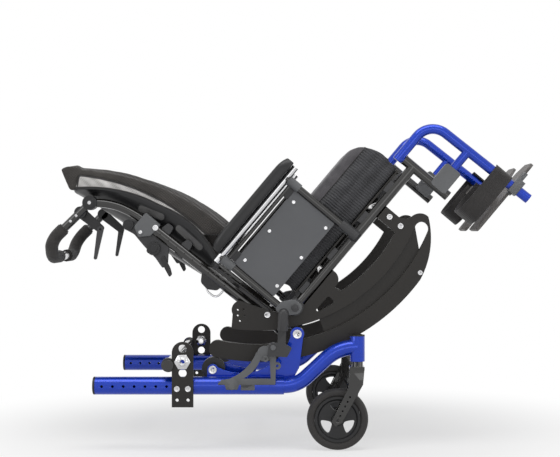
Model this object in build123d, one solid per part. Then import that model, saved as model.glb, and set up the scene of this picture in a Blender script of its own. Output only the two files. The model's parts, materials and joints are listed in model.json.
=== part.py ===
"""Tilt-in-space wheelchair frame with its seat, back and legrests, all in millimetres.

X points forwards, Y to the occupant's left and Z up. The seat hangs from two curved rockers
that roll on four rollers about one centre, so it tilts without shifting the occupant's
weight. Base pieces are placed from that centre's X. Seat pieces are drawn in the seat's own
frame, u forwards along the rails and w square to them, with its origin at the tilt centre,
and are then tilted to the rest pose. Left-hand pieces are drawn, and mirrored for the right.
"""

import os
from math import atan2, cos, degrees, radians, sin, sqrt

from build123d import *

# ---------------------------------------------------------------- driving dimensions
TILT_HEIGHT = 720.8  # tilt centre above the floor
REST_TILT = 50.0  # seat angle at rest, degrees

BASE_HALF_WIDTH = 280.0  # base tube centre from the middle plane
BASE_TUBE = 44.45  # outside diameters of the blue tubes
FRONT_TUBE = 38.1
TUBE_WALL = 2.5
BASE_TUBE_Z = 159.3
BASE_TUBE_REAR = -401.0
BASE_TUBE_FRONT = 65.7
BASE_HOLES = 7
BASE_HOLE = 7.0
BASE_HOLE_PITCH = 26.7
BASE_HOLE_FIRST = -383.3
END_CAP = 6.0

HEAD_X = 247.7
HEAD_TUBE = 37.0
HEAD_BORE = 28.0
HEAD_LOW = 219.8
HEAD_HIGH = 282.2
HEAD_JOIN_Z = 254.5
BEND_LOW_X = 98.0
BEND_HIGH_X = 200.8
BEND_LOW_RADIUS = 78.0
BEND_HIGH_RADIUS = 110.0
TUBE_OVERLAP = 70.0  # how far the front tube reaches into the base tube

CASTER_TRAIL = 49.3
CASTER_WHEEL = 152.4
CASTER_WIDTH = 30.0
TYRE_DEPTH = 19.0
CASTER_AXLE = 8.0
STEM = 19.0
FORK_TOP = 207.0
FORK_LEG_GAP = 20.5
FORK_LEG = 5.0
FORK_BAR = 25.0
SPOKES = 5

ROCKER_OUTER = 507.0  # radii about the tilt centre
RIM_INNER = 464.0
GROOVE_INNER = 429.0
SLOT_RADIUS = 390.0
ROCKER_TAIL = -62.5  # degrees, negative is behind straight down in the seat frame
WEB_TAIL = -60.0
GROOVE_FLOOR_REAR = -29.0
GROOVE_FLOOR_FRONT = 11.0
GROOVE_END = 17.2
ROCKER_IN = 214.0  # inner and outer faces from the middle plane
ROCKER_OUT = 234.0
GROOVE_DEPTH = 12.0

ROLLER_FRONT_ANGLE = 12.75  # ahead of straight down, row frame
ROLLER_REAR_ANGLE = -12.1
ROLLER_GAP = 0.4
REAR_ROLLER = 29.0
BRACKET_OUT = 252.0
BRACKET_IN = 195.0
BRACKET_PLATE = 6.0
EAR_FRONT = 17.0
EAR_REAR = 14.0

AXLE_PLATE_X = -183.3
AXLE_PLATE_WIDTH = 53.0
AXLE_PLATE_LOW = 109.0
AXLE_PLATE_HIGH = 270.0
AXLE_PLATE = 6.0
AXLE_HEIGHTS = (253.0, 221.0, 193.0)
AXLE_BORE = 12.7
RECEIVER = 20.0
RECEIVER_NUT = 40.0
PLATE_BOLT_Z = 154.6
PLATE_BOLT_PITCH = 27.0
BOLT = 8.0
BOLT_HEAD = 14.0

RAIL_TUBE = 25.4
RAIL_W = -310.0
RAIL_REAR = -235.0
RAIL_HALF = 224.0
POST_U = 238.0
POST_LOW = -425.0
POST_HIGH = -283.0

CUSHION_REAR = -200.0
CUSHION_FRONT = 213.0
CUSHION_LOW = -284.0
CUSHION_SIDE = -188.0
CUSHION_CROWN = -165.0
CUSHION_HALF = 226.0
PAN = 5.0

ARM_HALF = 251.0
ARM_TUBE = 22.2
ARM_FRONT_U = 10.0
ARM_REAR_U = -246.0
ARM_TOP_W = -93.0
ARM_PIVOT = (-224.0, -309.0)
PAD_LENGTH = 292.0
PAD_REAR = -241.0
PAD_HIGH = -50.0
PAD_WIDTH = 50.0
PANEL_LOW = -250.5
PANEL_HIGH = -118.7
PANEL = 4.0

CANE_TUBE = 25.4
CANE_HALF = 196.0
CANE_U = -283.0
CANE_LOW = -330.0
CANE_HIGH = 84.0
BACK_PIVOT_W = -268.0
BACK_HALF = 215.0
KNUCKLE = (-357.0, 259.0)
KNUCKLE_SIZE = 34.0
PUSH_REACH = 176.0
GRIP = 34.0

HANGER_TUBE = 25.4
HANGER_TOP = -268.0
HANGER_CORNER = 354.0
HANGER_BEND = 52.0
HANGER_END = (363.0, -585.0)
FOOTPLATE_W = -540.0
FOOTPLATE_REAR = 222.0
FOOTPLATE_FRONT = 443.0
FOOTPLATE_WIDTH = 158.0
FOOTPLATE = 7.0
STRAP = 50.8
STRAP_THICK = 3.0
STRAP_W = -494.0

CLEAR = 0.3  # between curved faces of different bodies
RUN = 0.05  # radial clearance of a pin in its bore

# ---------------------------------------------------------------- shared helpers
pieces = {}


def polar(radius, angle):
    """A point about the tilt centre, with the angle counted forwards from straight down."""
    return (radius * sin(radians(angle)), -radius * cos(radians(angle)))


def arc(radius, start, end):
    """An arc about the tilt centre between two angles."""
    middle = (start + end) / 2
    return ThreePointArc(polar(radius, start), polar(radius, middle), polar(radius, end))


def plate(profile, y_low, y_high):
    """A profile drawn in the side view, given its thickness between two Y values."""
    return Pos(0, y_high, 0) * extrude(Plane.XZ * profile, y_high - y_low)


def bar_y(x, z, diameter, y_low, y_high, bore=0.0):
    """A round bar or tube across the chair."""
    section = Circle(diameter / 2)
    if bore:
        section -= Circle(bore / 2)
    return plate(Pos(x, z) * section, y_low, y_high)


def rod(start, end, diameter, bore=0.0):
    """A straight round rod or tube between two points."""
    start = Vector(*start)
    end = Vector(*end)
    section = Circle(diameter / 2)
    if bore:
        section -= Circle(bore / 2)
    along = end - start
    return extrude(Plane(origin=start, z_dir=along) * section, along.length)


def bent_tube(points, radii, diameter, wall=0.0):
    """A tube along straight runs joined by tangent arcs."""
    path = FilletPolyline(*points, radius=radii)
    section = Circle(diameter / 2)
    if wall:
        section -= Circle(diameter / 2 - wall)
    return sweep(Plane(origin=path @ 0, z_dir=path % 0) * section, path=path)


def box(x, y, z):
    """A box given by its low and high value along each axis."""
    size = (x[1] - x[0], y[1] - y[0], z[1] - z[0])
    middle = ((x[0] + x[1]) / 2, (y[0] + y[1]) / 2, (z[0] + z[1]) / 2)
    return Pos(*middle) * Box(*size)


def outline(*points, radius=0.0):
    """A closed straight-sided outline with all its corners rounded."""
    shape = make_face(Polyline(*points, close=True))
    if radius:
        shape = fillet(shape.vertices(), radius)
    return shape


def link(a, b, radius_a, radius_b):
    """The outline of a bar with round ends of two sizes."""
    along = Vector(b[0] - a[0], b[1] - a[1], 0)
    turn = degrees(atan2(along.Y, along.X))
    lean = degrees(atan2(radius_a - radius_b, along.length))
    sides = []
    for side in (1, -1):
        angle = radians(turn + side * (90 - lean))
        way = Vector(cos(angle), sin(angle), 0)
        sides.append((Vector(*a, 0) + way * radius_a, Vector(*b, 0) + way * radius_b))
    body = make_face(Polyline(sides[0][0], sides[0][1], sides[1][1], sides[1][0], close=True))
    return body + Pos(*a) * Circle(radius_a) + Pos(*b) * Circle(radius_b)


def mirrored(shape):
    """The right-hand twin of a left-hand piece."""
    return mirror(shape, about=Plane.XZ)


def seated(shape):
    """A piece from the seat's frame, placed in the chair at the rest tilt."""
    return Pos(0, 0, TILT_HEIGHT) * Rot(0, -REST_TILT, 0) * shape


def seat_point(u, w, y=0.0):
    """A point from the seat's frame, in the chair's frame."""
    turn = radians(REST_TILT)
    return (u * cos(turn) - w * sin(turn), y, TILT_HEIGHT + u * sin(turn) + w * cos(turn))


def group(*shapes):
    """Several separate solids as one node."""
    solids = [solid for shape in shapes for solid in shape.solids()]
    return Compound(solids)


def add(name, *shapes):
    """A node in the chair's frame."""
    pieces[name] = group(*shapes)


def add_pair(name, shape):
    """A left node and its mirrored right one."""
    add(name + "_left", shape)
    add(name + "_right", mirrored(shape))


def hex_bolt(x, z, y_low, y_high, head_out=True, head=BOLT_HEAD, shank=BOLT):
    """A bolt across the chair with a round socket head on its outer or inner end."""
    head_depth = shank * 0.6
    bolt = bar_y(x, z, shank, y_low, y_high)
    seat = y_high if head_out else y_low - head_depth
    bolt += bar_y(x, z, head, seat, seat + head_depth)
    socket = Pos(x, z) * RegularPolygon(head * 0.24, 6)
    depth = head_depth * 0.6
    low = seat + head_depth - depth if head_out else seat
    return bolt - plate(socket, low, low + depth)


# ---------------------------------------------------------------- base: tubes
PLATE_BOLT_X = [AXLE_PLATE_X + side * PLATE_BOLT_PITCH / 2 for side in (-1, 1)]


def base_tube():
    """The straight lower tube with its row of adjustment holes."""
    start = (BASE_TUBE_REAR, BASE_HALF_WIDTH, BASE_TUBE_Z)
    end = (BASE_TUBE_FRONT, BASE_HALF_WIDTH, BASE_TUBE_Z)
    tube = rod(start, end, BASE_TUBE, FRONT_TUBE + 2 * RUN)
    for n in range(BASE_HOLES):
        x = BASE_HOLE_FIRST + n * BASE_HOLE_PITCH
        tube -= bar_y(x, BASE_TUBE_Z, BASE_HOLE, BASE_HALF_WIDTH - 30, BASE_HALF_WIDTH + 30)
    for x in PLATE_BOLT_X:
        tube -= bar_y(x, PLATE_BOLT_Z, BOLT, BASE_HALF_WIDTH, BASE_HALF_WIDTH + 30)
    return tube


def front_tube():
    """The bent tube that rises to the head tube of the front caster."""
    y = BASE_HALF_WIDTH
    points = [
        (BASE_TUBE_FRONT - TUBE_OVERLAP, y, BASE_TUBE_Z),
        (BEND_LOW_X, y, BASE_TUBE_Z),
        (BEND_HIGH_X, y, HEAD_JOIN_Z),
        (HEAD_X, y, HEAD_JOIN_Z),
    ]
    bend = bent_tube(points, [BEND_LOW_RADIUS, BEND_HIGH_RADIUS], FRONT_TUBE, TUBE_WALL)
    head_low = (HEAD_X, y, HEAD_LOW)
    head_high = (HEAD_X, y, HEAD_HIGH)
    bend -= rod(head_low, head_high, HEAD_TUBE)
    return bend + rod(head_low, head_high, HEAD_TUBE, HEAD_BORE)


def tube_cap():
    """The plug in the open rear end of a base tube."""
    y = BASE_HALF_WIDTH
    edge = (BASE_TUBE_REAR, y, BASE_TUBE_Z)
    rim = rod(edge, (BASE_TUBE_REAR - END_CAP, y, BASE_TUBE_Z), BASE_TUBE)
    rim = fillet(rim.edges().group_by(Axis.X)[0], END_CAP * 0.4)
    return rim + rod(edge, (BASE_TUBE_REAR + 3 * END_CAP, y, BASE_TUBE_Z), FRONT_TUBE)


def head_cap():
    """The low dome that closes the top of a head tube."""
    place = Pos(HEAD_X, BASE_HALF_WIDTH, HEAD_HIGH)
    height = 6.0
    rim = 3.0
    dome = make_face(
        Polyline((HEAD_TUBE / 2 - rim, rim), (HEAD_TUBE / 2, rim), (HEAD_TUBE / 2, 0), (0, 0), (0, height))
        + ThreePointArc((0, height), (HEAD_TUBE / 4, height * 0.85), (HEAD_TUBE / 2 - rim, rim))
    )
    return place * revolve(Plane.XZ * dome, Axis.Z)


add_pair("base_tube", base_tube())
add_pair("front_tube", front_tube())
add("tube_caps", *[s for cap in (tube_cap(), head_cap()) for s in (cap, mirrored(cap))])

# ---------------------------------------------------------------- base: roller brackets
FRONT_ROLLER_RADIUS = (RIM_INNER + GROOVE_INNER) / 2
FRONT_ROLLER = (RIM_INNER - GROOVE_INNER) / 2 - ROLLER_GAP
front_x, front_z = polar(FRONT_ROLLER_RADIUS, ROLLER_FRONT_ANGLE)
rear_x, rear_z = polar(ROCKER_OUTER + REAR_ROLLER + ROLLER_GAP, ROLLER_REAR_ANGLE)
front_z += TILT_HEIGHT
rear_z += TILT_HEIGHT
ROLLER_BOLT = 10.0


def bracket_profile():
    """The side plate: two ears on a hollow top edge that follows the rocker."""
    rear_edge = rear_x - EAR_REAR
    front_edge = front_x + EAR_FRONT * 0.9
    foot = BASE_TUBE_Z
    top = (
        Line((rear_edge, foot), (rear_edge, rear_z))
        + Line((rear_edge, rear_z), (rear_x + EAR_REAR * 0.8, rear_z + EAR_REAR * 0.5))
        + ThreePointArc(
            (rear_x + EAR_REAR * 0.8, rear_z + EAR_REAR * 0.5),
            (rear_x + 68, rear_z - 9),
            (front_x - EAR_FRONT * 0.95, front_z - 4),
        )
        + Line((front_x - EAR_FRONT * 0.95, front_z - 4), (front_edge, front_z - 4))
        + Line((front_edge, front_z - 4), (front_x + 5, rear_z + 5))
        + Line((front_x + 5, rear_z + 5), (front_x - 18, foot))
        + Line((front_x - 18, foot), (rear_edge, foot))
    )
    profile = make_face(top)
    profile += Pos(rear_x, rear_z) * Circle(EAR_REAR)
    profile += Pos(front_x, front_z) * Circle(EAR_FRONT)
    return profile


def roller_bracket():
    """Outer and inner side plates, joined by a floor below the rocker."""
    base = rod(
        (BASE_TUBE_REAR, BASE_HALF_WIDTH, BASE_TUBE_Z),
        (BASE_TUBE_FRONT + 60, BASE_HALF_WIDTH, BASE_TUBE_Z),
        BASE_TUBE,
    )
    outer = plate(bracket_profile(), BRACKET_OUT, BRACKET_OUT + BRACKET_PLATE)
    inner_profile = link((rear_x, rear_z), (rear_x + 90, BASE_TUBE_Z + 16), EAR_REAR + 3, 16)
    inner = plate(inner_profile, BRACKET_IN, BRACKET_IN + BRACKET_PLATE)
    floor_x = (rear_x + EAR_REAR + 2, front_x - 26)
    floor_y = (BRACKET_IN + BRACKET_PLATE, BRACKET_OUT)
    floor = box((floor_x[0] + 36, floor_x[1]), floor_y, (BASE_TUBE_Z + 8, BASE_TUBE_Z + 14))
    bracket = outer + inner + floor
    bracket -= base
    bracket -= bar_y(rear_x, rear_z, ROLLER_BOLT, BRACKET_IN - 1, BRACKET_OUT + 10)
    bracket -= bar_y(front_x, front_z, ROLLER_BOLT, BRACKET_OUT - 1, BRACKET_OUT + 10)
    return bracket


def roller_bolts():
    """The bolts that the rollers turn on."""
    outer = BRACKET_OUT + BRACKET_PLATE
    rear = hex_bolt(rear_x, rear_z, BRACKET_IN - 4, outer, head=20, shank=ROLLER_BOLT)
    front = hex_bolt(front_x, front_z, ROCKER_OUT - GROOVE_DEPTH + 2, outer, head=22, shank=ROLLER_BOLT)
    return [rear, front]


def roller(x, z, diameter, y_low, y_high):
    """A plain roller with rounded rims on its bolt."""
    wheel = bar_y(x, z, diameter, y_low, y_high)
    wheel = fillet(wheel.edges().filter_by(GeomType.CIRCLE), 1.5)
    return wheel - bar_y(x, z, ROLLER_BOLT + 2 * RUN, y_low - 1, y_high + 1)


CROSS_TUBE = 25.4


def cross_tube(x, z):
    """A tube that ties the two sides of the base together."""
    return bar_y(x, z, CROSS_TUBE, -BRACKET_IN, BRACKET_IN, CROSS_TUBE - 5)


add_pair("roller_bracket", roller_bracket())
add("base_cross_tube", cross_tube(rear_x + 90, BASE_TUBE_Z + 16))
add_pair("front_roller", roller(front_x, front_z, 2 * FRONT_ROLLER, ROCKER_OUT - GROOVE_DEPTH + 4, BRACKET_OUT - CLEAR))
add_pair("rear_roller", roller(rear_x, rear_z, 2 * REAR_ROLLER, ROCKER_IN - 4, ROCKER_OUT + 4))

# ---------------------------------------------------------------- base: axle plates
PLATE_IN = BASE_HALF_WIDTH + BASE_TUBE / 2
PLATE_OUT = PLATE_IN + AXLE_PLATE
REAR_CROSS = (-218.4, 213.1)


def axle_plate():
    """The upright plate that takes a rear wheel's axle in one of three holes."""
    half = AXLE_PLATE_WIDTH / 2
    tall = box(
        (AXLE_PLATE_X - half, AXLE_PLATE_X + half),
        (PLATE_IN, PLATE_OUT),
        (AXLE_PLATE_LOW, AXLE_PLATE_HIGH - half),
    )
    shape = tall + bar_y(AXLE_PLATE_X, AXLE_PLATE_HIGH - half, AXLE_PLATE_WIDTH, PLATE_IN, PLATE_OUT)
    for z in AXLE_HEIGHTS:
        shape -= bar_y(AXLE_PLATE_X, z, RECEIVER, PLATE_IN - 1, PLATE_OUT + 1)
    shape -= bar_y(*REAR_CROSS, CROSS_TUBE, PLATE_IN - 1, PLATE_OUT + 1)
    for x in PLATE_BOLT_X:
        shape -= bar_y(x, PLATE_BOLT_Z, BOLT, PLATE_IN - 1, PLATE_OUT + 1)
        shape -= bar_y(x, PLATE_BOLT_Z - 28, BOLT, PLATE_IN - 1, PLATE_OUT + 1)
    return shape


def axle_receiver():
    """The threaded sleeve for a quick-release axle, with its nut on each face."""
    z = AXLE_HEIGHTS[1]
    sleeve = bar_y(AXLE_PLATE_X, z, RECEIVER, PLATE_IN - 16, PLATE_OUT + 12)
    sleeve += plate(Pos(AXLE_PLATE_X, z) * RegularPolygon(RECEIVER_NUT / 2, 6), PLATE_OUT, PLATE_OUT + 8)
    sleeve += plate(Pos(AXLE_PLATE_X, z) * RegularPolygon(RECEIVER_NUT / 2 - 4, 6), PLATE_IN - 8, PLATE_IN)
    return sleeve - bar_y(AXLE_PLATE_X, z, AXLE_BORE, PLATE_IN - 20, PLATE_OUT + 20)


def plate_bolts():
    """Two bolts that hold an axle plate to its tube, through both tube walls."""
    inner = BASE_HALF_WIDTH + FRONT_TUBE / 2 - 2
    return [hex_bolt(x, PLATE_BOLT_Z, inner, PLATE_OUT) for x in PLATE_BOLT_X]


def rear_cross_tube():
    """The tube between the two axle plates, with a clamp and a bright plug at each end."""
    reach = PLATE_OUT + 6
    tube = bar_y(*REAR_CROSS, CROSS_TUBE, -reach, reach, CROSS_TUBE - 5)
    ring = plate(Pos(*REAR_CROSS) * Circle(CROSS_TUBE / 2 + 5), PLATE_IN, PLATE_OUT)
    ring += box(
        (REAR_CROSS[0], AXLE_PLATE_X),
        (PLATE_IN, PLATE_OUT),
        (REAR_CROSS[1] - 16, REAR_CROSS[1] + 16),
    )
    edge = AXLE_PLATE_X - AXLE_PLATE_WIDTH / 2
    ring -= box((edge, AXLE_PLATE_X + 1), (PLATE_IN - 1, PLATE_OUT + 1), (100, 300))
    ring -= bar_y(*REAR_CROSS, CROSS_TUBE, PLATE_IN - 1, PLATE_OUT + 1)
    plug = bar_y(*REAR_CROSS, CROSS_TUBE + 1.6, reach, reach + 3)
    return [tube, ring, plug, mirrored(ring), mirrored(plug)]


upright = axle_plate()
add("axle_plates", upright, mirrored(upright))
add("rear_cross_tube", *rear_cross_tube())
receiver = axle_receiver()
add("axle_receivers", receiver, mirrored(receiver))
base_bolts = plate_bolts() + roller_bolts()
add("base_bolts", *base_bolts, *[mirrored(bolt) for bolt in base_bolts])

# ---------------------------------------------------------------- base: casters
AXLE_X = HEAD_X - CASTER_TRAIL
AXLE_Z = CASTER_WHEEL / 2


def caster_fork():
    """The fork: a crown under the head tube and two slanted legs with axle holes."""
    y = BASE_HALF_WIDTH
    crown = box((HEAD_X - 20, HEAD_X + 17), (y - FORK_LEG_GAP, y + FORK_LEG_GAP), (FORK_TOP - 8, FORK_TOP))
    knee = (HEAD_X - 3, AXLE_Z + 88)
    leg_profile = outline(
        (HEAD_X - 20, FORK_TOP),
        (HEAD_X + 17, FORK_TOP),
        (HEAD_X + 13, knee[1]),
        (AXLE_X + FORK_BAR * 0.45, AXLE_Z - 4),
        (AXLE_X - FORK_BAR * 0.2, AXLE_Z - 15),
        (AXLE_X - FORK_BAR * 0.62, AXLE_Z - 4),
        (HEAD_X - 23, knee[1] - 8),
    )
    leg = plate(leg_profile, y + FORK_LEG_GAP, y + FORK_LEG_GAP + FORK_LEG)
    leg += plate(leg_profile, y - FORK_LEG_GAP - FORK_LEG, y - FORK_LEG_GAP)
    slant = degrees(atan2(knee[1] - AXLE_Z, knee[0] - AXLE_X))
    for n in range(1, 6):
        x = AXLE_X + n * 13.0 * cos(radians(slant))
        z = AXLE_Z + n * 13.0 * sin(radians(slant))
        leg -= bar_y(x, z, 5.0, y - 40, y + 40)
    leg -= bar_y(AXLE_X, AXLE_Z, CASTER_AXLE, y - 40, y + 40)
    stem = rod((HEAD_X, y, FORK_TOP), (HEAD_X, y, HEAD_LOW - CLEAR), STEM + 5)
    stem += rod((HEAD_X, y, FORK_TOP), (HEAD_X, y, HEAD_HIGH - 4), HEAD_BORE - 2 * RUN)
    return crown + leg + stem


def caster_axle():
    """The axle bolt of a caster wheel."""
    y = BASE_HALF_WIDTH
    reach = FORK_LEG_GAP + FORK_LEG
    return hex_bolt(AXLE_X, AXLE_Z, y - reach - 3, y + reach, shank=CASTER_AXLE)


def caster_hub():
    """A moulded wheel with five spokes between its hub and its rim."""
    rim_outer = CASTER_WHEEL / 2 - TYRE_DEPTH
    rim_inner = rim_outer - 9
    hub = 15.0
    face = Circle(rim_outer)
    spacing = 360 / SPOKES
    window = (
        Circle(rim_inner)
        - Circle(hub)
    )
    spoke = Pos(rim_inner / 2, 0) * Rectangle(rim_inner, 11)
    for n in range(SPOKES):
        window -= Rot(0, 0, 90 + n * spacing) * spoke
    face -= window
    place = Pos(AXLE_X, AXLE_Z)
    y = BASE_HALF_WIDTH
    wheel = plate(place * face, y - CASTER_WIDTH * 0.3, y + CASTER_WIDTH * 0.3)
    wheel += bar_y(AXLE_X, AXLE_Z, 2 * hub, y - FORK_LEG_GAP + 1, y + FORK_LEG_GAP - 1)
    return wheel - bar_y(AXLE_X, AXLE_Z, CASTER_AXLE + 2 * RUN, y - 30, y + 30)


def caster_tyre():
    """A solid tyre with a rounded tread."""
    outer = CASTER_WHEEL / 2
    seat = outer - TYRE_DEPTH
    half = CASTER_WIDTH / 2
    shoulder = 6.0
    section = make_face(
        Polyline((seat, half * 0.6), (seat, -half * 0.6), (seat + 5, -half), (outer - shoulder, -half))
        + ThreePointArc((outer - shoulder, -half), (outer, 0), (outer - shoulder, half))
        + Polyline((outer - shoulder, half), (seat + 5, half), (seat, half * 0.6))
    )
    ring = revolve(Plane.XY * section, Axis.Y)
    return Pos(AXLE_X, BASE_HALF_WIDTH, AXLE_Z) * ring


fork = caster_fork()
axle = caster_axle()
add("caster_fork_left", fork, axle)
add("caster_fork_right", mirrored(fork), mirrored(axle))
add_pair("caster_hub", caster_hub())
add_pair("caster_tyre", caster_tyre())

# ---------------------------------------------------------------- base: wheel locks
LOCK_IN = PLATE_IN + 0.2
LOCK_PIVOT = (39.6, 256.8)


def lock_bracket():
    """The cast A-frame that stands on the base tube and carries the lock lever."""
    low, high = 164.7, 179.4
    foot = outline((-99, low), (45, low), (45, high), (-60, high), (-88, high - 3), radius=2)
    upright = outline((34, low), (45, low), (47, 236), (30, 250), radius=2)
    strut = make_face(
        ThreePointArc((-96, 172), (-28, 205), (-2, 244))
        + Line((-2, 244), (12, 238))
        + ThreePointArc((12, 238), (-12, 196), (-60, 170))
        + Line((-60, 170), (-96, 172))
    )
    disc = Pos(19, 241) * Circle(19)
    ear = Pos(49.5, 211) * Circle(9)
    head = link(LOCK_PIVOT, (19, 241), 12, 12)
    shape = plate(foot + upright + strut + disc + ear + head, LOCK_IN, LOCK_IN + 7)
    saddle = plate(outline((-76, 152), (-48, 152), (-44, low + 2), (-80, low + 2)), LOCK_IN - 14, LOCK_IN + 7)
    saddle += plate(outline((-40, 150), (-6, 150), (-6, low + 2), (-40, low + 2)), LOCK_IN - 14, LOCK_IN)
    tube = rod((-150, BASE_HALF_WIDTH, BASE_TUBE_Z), (60, BASE_HALF_WIDTH, BASE_TUBE_Z), BASE_TUBE)
    shape += saddle - tube
    shape -= bar_y(49.5, 211, 7, LOCK_IN - 1, LOCK_IN + 8)
    shape += hex_bolt(21, 228.5, LOCK_IN + 7, LOCK_IN + 9)
    shape += bar_y(-61.8, BASE_TUBE_Z, 15, LOCK_IN + 7, LOCK_IN + 10)
    pin = bar_y(*LOCK_PIVOT, 8, LOCK_IN, LOCK_IN + 16)
    pin += bar_y(*LOCK_PIVOT, 13, LOCK_IN + 16, LOCK_IN + 19)
    return shape + pin


def lock_lever():
    """The lever: a cast boss on the pivot, a flat blade and a round grip."""
    low, high = LOCK_IN + 7 + CLEAR, LOCK_IN + 16 - CLEAR
    boss = outline((26, 236), (74, 233), (86, 256), (66, 268), (28, 268), radius=5)
    blade = outline((50, 262), (70, 262), (72, 304), (52, 304), radius=1)
    body = plate(boss + blade, low, high)
    middle = (low + high) / 2
    grip = rod((63, middle, 298), (65, middle, 340), 26)
    grip += Pos(65, middle, 340) * Sphere(13)
    body += grip
    return body - bar_y(*LOCK_PIVOT, 8 + 2 * RUN, low - 2, high + 2)


add_pair("lock_bracket", lock_bracket())
add_pair("lock_lever", lock_lever())

# ---------------------------------------------------------------- seat: rockers
NECK = (82.0, 118.0)
HOOK = (-121.0, -92.0)


def rocker_outline():
    """The whole rocker in side view: rim, web, neck and tail."""
    under_rail = RAIL_W - RAIL_TUBE / 2
    rim_end = 3.5
    slot_front = (NECK[0], -sqrt(SLOT_RADIUS**2 - NECK[0] ** 2))
    slot_rear = (HOOK[0] + 4, -sqrt(SLOT_RADIUS**2 - (HOOK[0] + 4) ** 2))
    rim_tail = polar((ROCKER_OUTER + RIM_INNER) / 2, ROCKER_TAIL - 2)
    tail_mid = polar((ROCKER_OUTER + RIM_INNER) / 2 + 16, ROCKER_TAIL)
    edge = (
        arc(ROCKER_OUTER, ROCKER_TAIL, rim_end)
        + ThreePointArc(polar(ROCKER_OUTER, rim_end), (103, -478), (166, -420))
        + ThreePointArc((166, -420), (160, -399), (140, -388))
        + ThreePointArc((140, -388), (125, -378), (NECK[1], -362))
        + Line((NECK[1], -362), (NECK[1], under_rail))
        + Line((NECK[1], under_rail), (NECK[0], under_rail))
        + Line((NECK[0], under_rail), slot_front)
        + ThreePointArc(slot_front, polar(SLOT_RADIUS, -3), slot_rear)
        + Line(slot_rear, (HOOK[0], -353))
        + ThreePointArc((HOOK[0], -353), (-97, -345), (HOOK[1], under_rail))
        + Line((HOOK[1], under_rail), (RAIL_REAR - 6, under_rail))
        + ThreePointArc((RAIL_REAR - 6, under_rail), (-262, -284), (-280, -246))
        + Line((-280, -246), (-301, -192))
        + ThreePointArc((-301, -192), (-320, -186), (-338, -200))
        + Line((-338, -200), polar(GROOVE_INNER, WEB_TAIL + 1))
        + arc(GROOVE_INNER, WEB_TAIL + 1, GROOVE_FLOOR_REAR)
        + Line(polar(GROOVE_INNER, GROOVE_FLOOR_REAR), polar(RIM_INNER, GROOVE_FLOOR_REAR))
        + arc(RIM_INNER, GROOVE_FLOOR_REAR, ROCKER_TAIL)
        + ThreePointArc(polar(RIM_INNER, ROCKER_TAIL), polar((RIM_INNER + ROCKER_OUTER) / 2, ROCKER_TAIL - 2.2), polar(ROCKER_OUTER, ROCKER_TAIL))
    )
    return make_face(edge)


def groove_window():
    """The see-through end of the groove near the front tip."""
    middle = (RIM_INNER + GROOVE_INNER) / 2
    half = (RIM_INNER - GROOVE_INNER) / 2
    band = make_face(
        arc(RIM_INNER, GROOVE_FLOOR_FRONT, GROOVE_END)
        + ThreePointArc(polar(RIM_INNER, GROOVE_END), polar(middle, GROOVE_END + degrees(half / middle)), polar(GROOVE_INNER, GROOVE_END))
        + Line(polar(GROOVE_INNER, GROOVE_END), polar(RIM_INNER, GROOVE_FLOOR_FRONT))
    )
    return band


def groove_channel():
    """The roller's running groove, sunk into the outer face."""
    return make_face(
        arc(RIM_INNER, GROOVE_FLOOR_REAR - 1, GROOVE_END)
        + Line(polar(RIM_INNER, GROOVE_END), polar(GROOVE_INNER, GROOVE_END))
        + arc(GROOVE_INNER, GROOVE_END, GROOVE_FLOOR_REAR - 1)
        + Line(polar(GROOVE_INNER, GROOVE_FLOOR_REAR - 1), polar(RIM_INNER, GROOVE_FLOOR_REAR - 1))
    )


ANGLE_HOLES = [(-311, -214), (-322, -203), (-333, -212), (-322, -225), (-340, -225)]


def rocker():
    """A thick curved plate with a roller groove, a slot under the rail and a window."""
    body = plate(rocker_outline(), ROCKER_IN, ROCKER_OUT)
    body -= plate(groove_channel(), ROCKER_OUT - GROOVE_DEPTH, ROCKER_OUT + 1)
    body -= plate(groove_window(), ROCKER_IN - 1, ROCKER_OUT + 1)
    window = fillet(outline((-216, -353), (-148, -355), (-150, -378)).vertices(), 4)
    body -= plate(window, ROCKER_IN - 1, ROCKER_OUT + 1)
    for u, w in ANGLE_HOLES:
        body -= bar_y(u, w, 5, ROCKER_IN - 1, ROCKER_OUT + 1)
    body -= bar_y(CANE_U, BACK_PIVOT_W, BOLT, ROCKER_IN - 1, ROCKER_OUT + 1)
    for w in (-345, -381):
        body -= bar_y(103, w, BOLT, ROCKER_IN - 1, ROCKER_OUT + 1)
    body -= bar_y(45, -494, BOLT, ROCKER_IN - 1, ROCKER_OUT + 1)
    return body


def rocker_bolts():
    """Neck bolts, the rim's stop bolt and the back's pivot bolt."""
    neck = [hex_bolt(103, w, ROCKER_IN, ROCKER_OUT) for w in (-345, -381)]
    stop = hex_bolt(45, -494, ROCKER_IN, ROCKER_OUT, head=12)
    inner = CANE_HALF - CANE_TUBE / 2 - 3
    pivot = hex_bolt(CANE_U, BACK_PIVOT_W, inner, ROCKER_OUT, head=15)
    return neck + [stop, pivot]


add_pair("rocker", seated(rocker()))
bolts = rocker_bolts()
add("rocker_bolts", *[seated(b) for b in bolts], *[seated(mirrored(b)) for b in bolts])

# ---------------------------------------------------------------- seat: rails and posts
SEAT_CROSS_U = (-115.0, 110.0)


def seat_rail():
    """A seat rail from the rear casting to the legrest post."""
    post_edge = POST_U - RAIL_TUBE / 2
    rail = rod((RAIL_REAR, RAIL_HALF, RAIL_W), (POST_U, RAIL_HALF, RAIL_W), RAIL_TUBE, RAIL_TUBE - 5)
    return rail - rod((POST_U, RAIL_HALF, RAIL_W - 30), (POST_U, RAIL_HALF, RAIL_W + 30), RAIL_TUBE)


def legrest_post():
    """The upright socket tube that a legrest hangs in."""
    return rod((POST_U, RAIL_HALF, POST_LOW), (POST_U, RAIL_HALF, POST_HIGH), RAIL_TUBE, RAIL_TUBE - 6)


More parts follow.
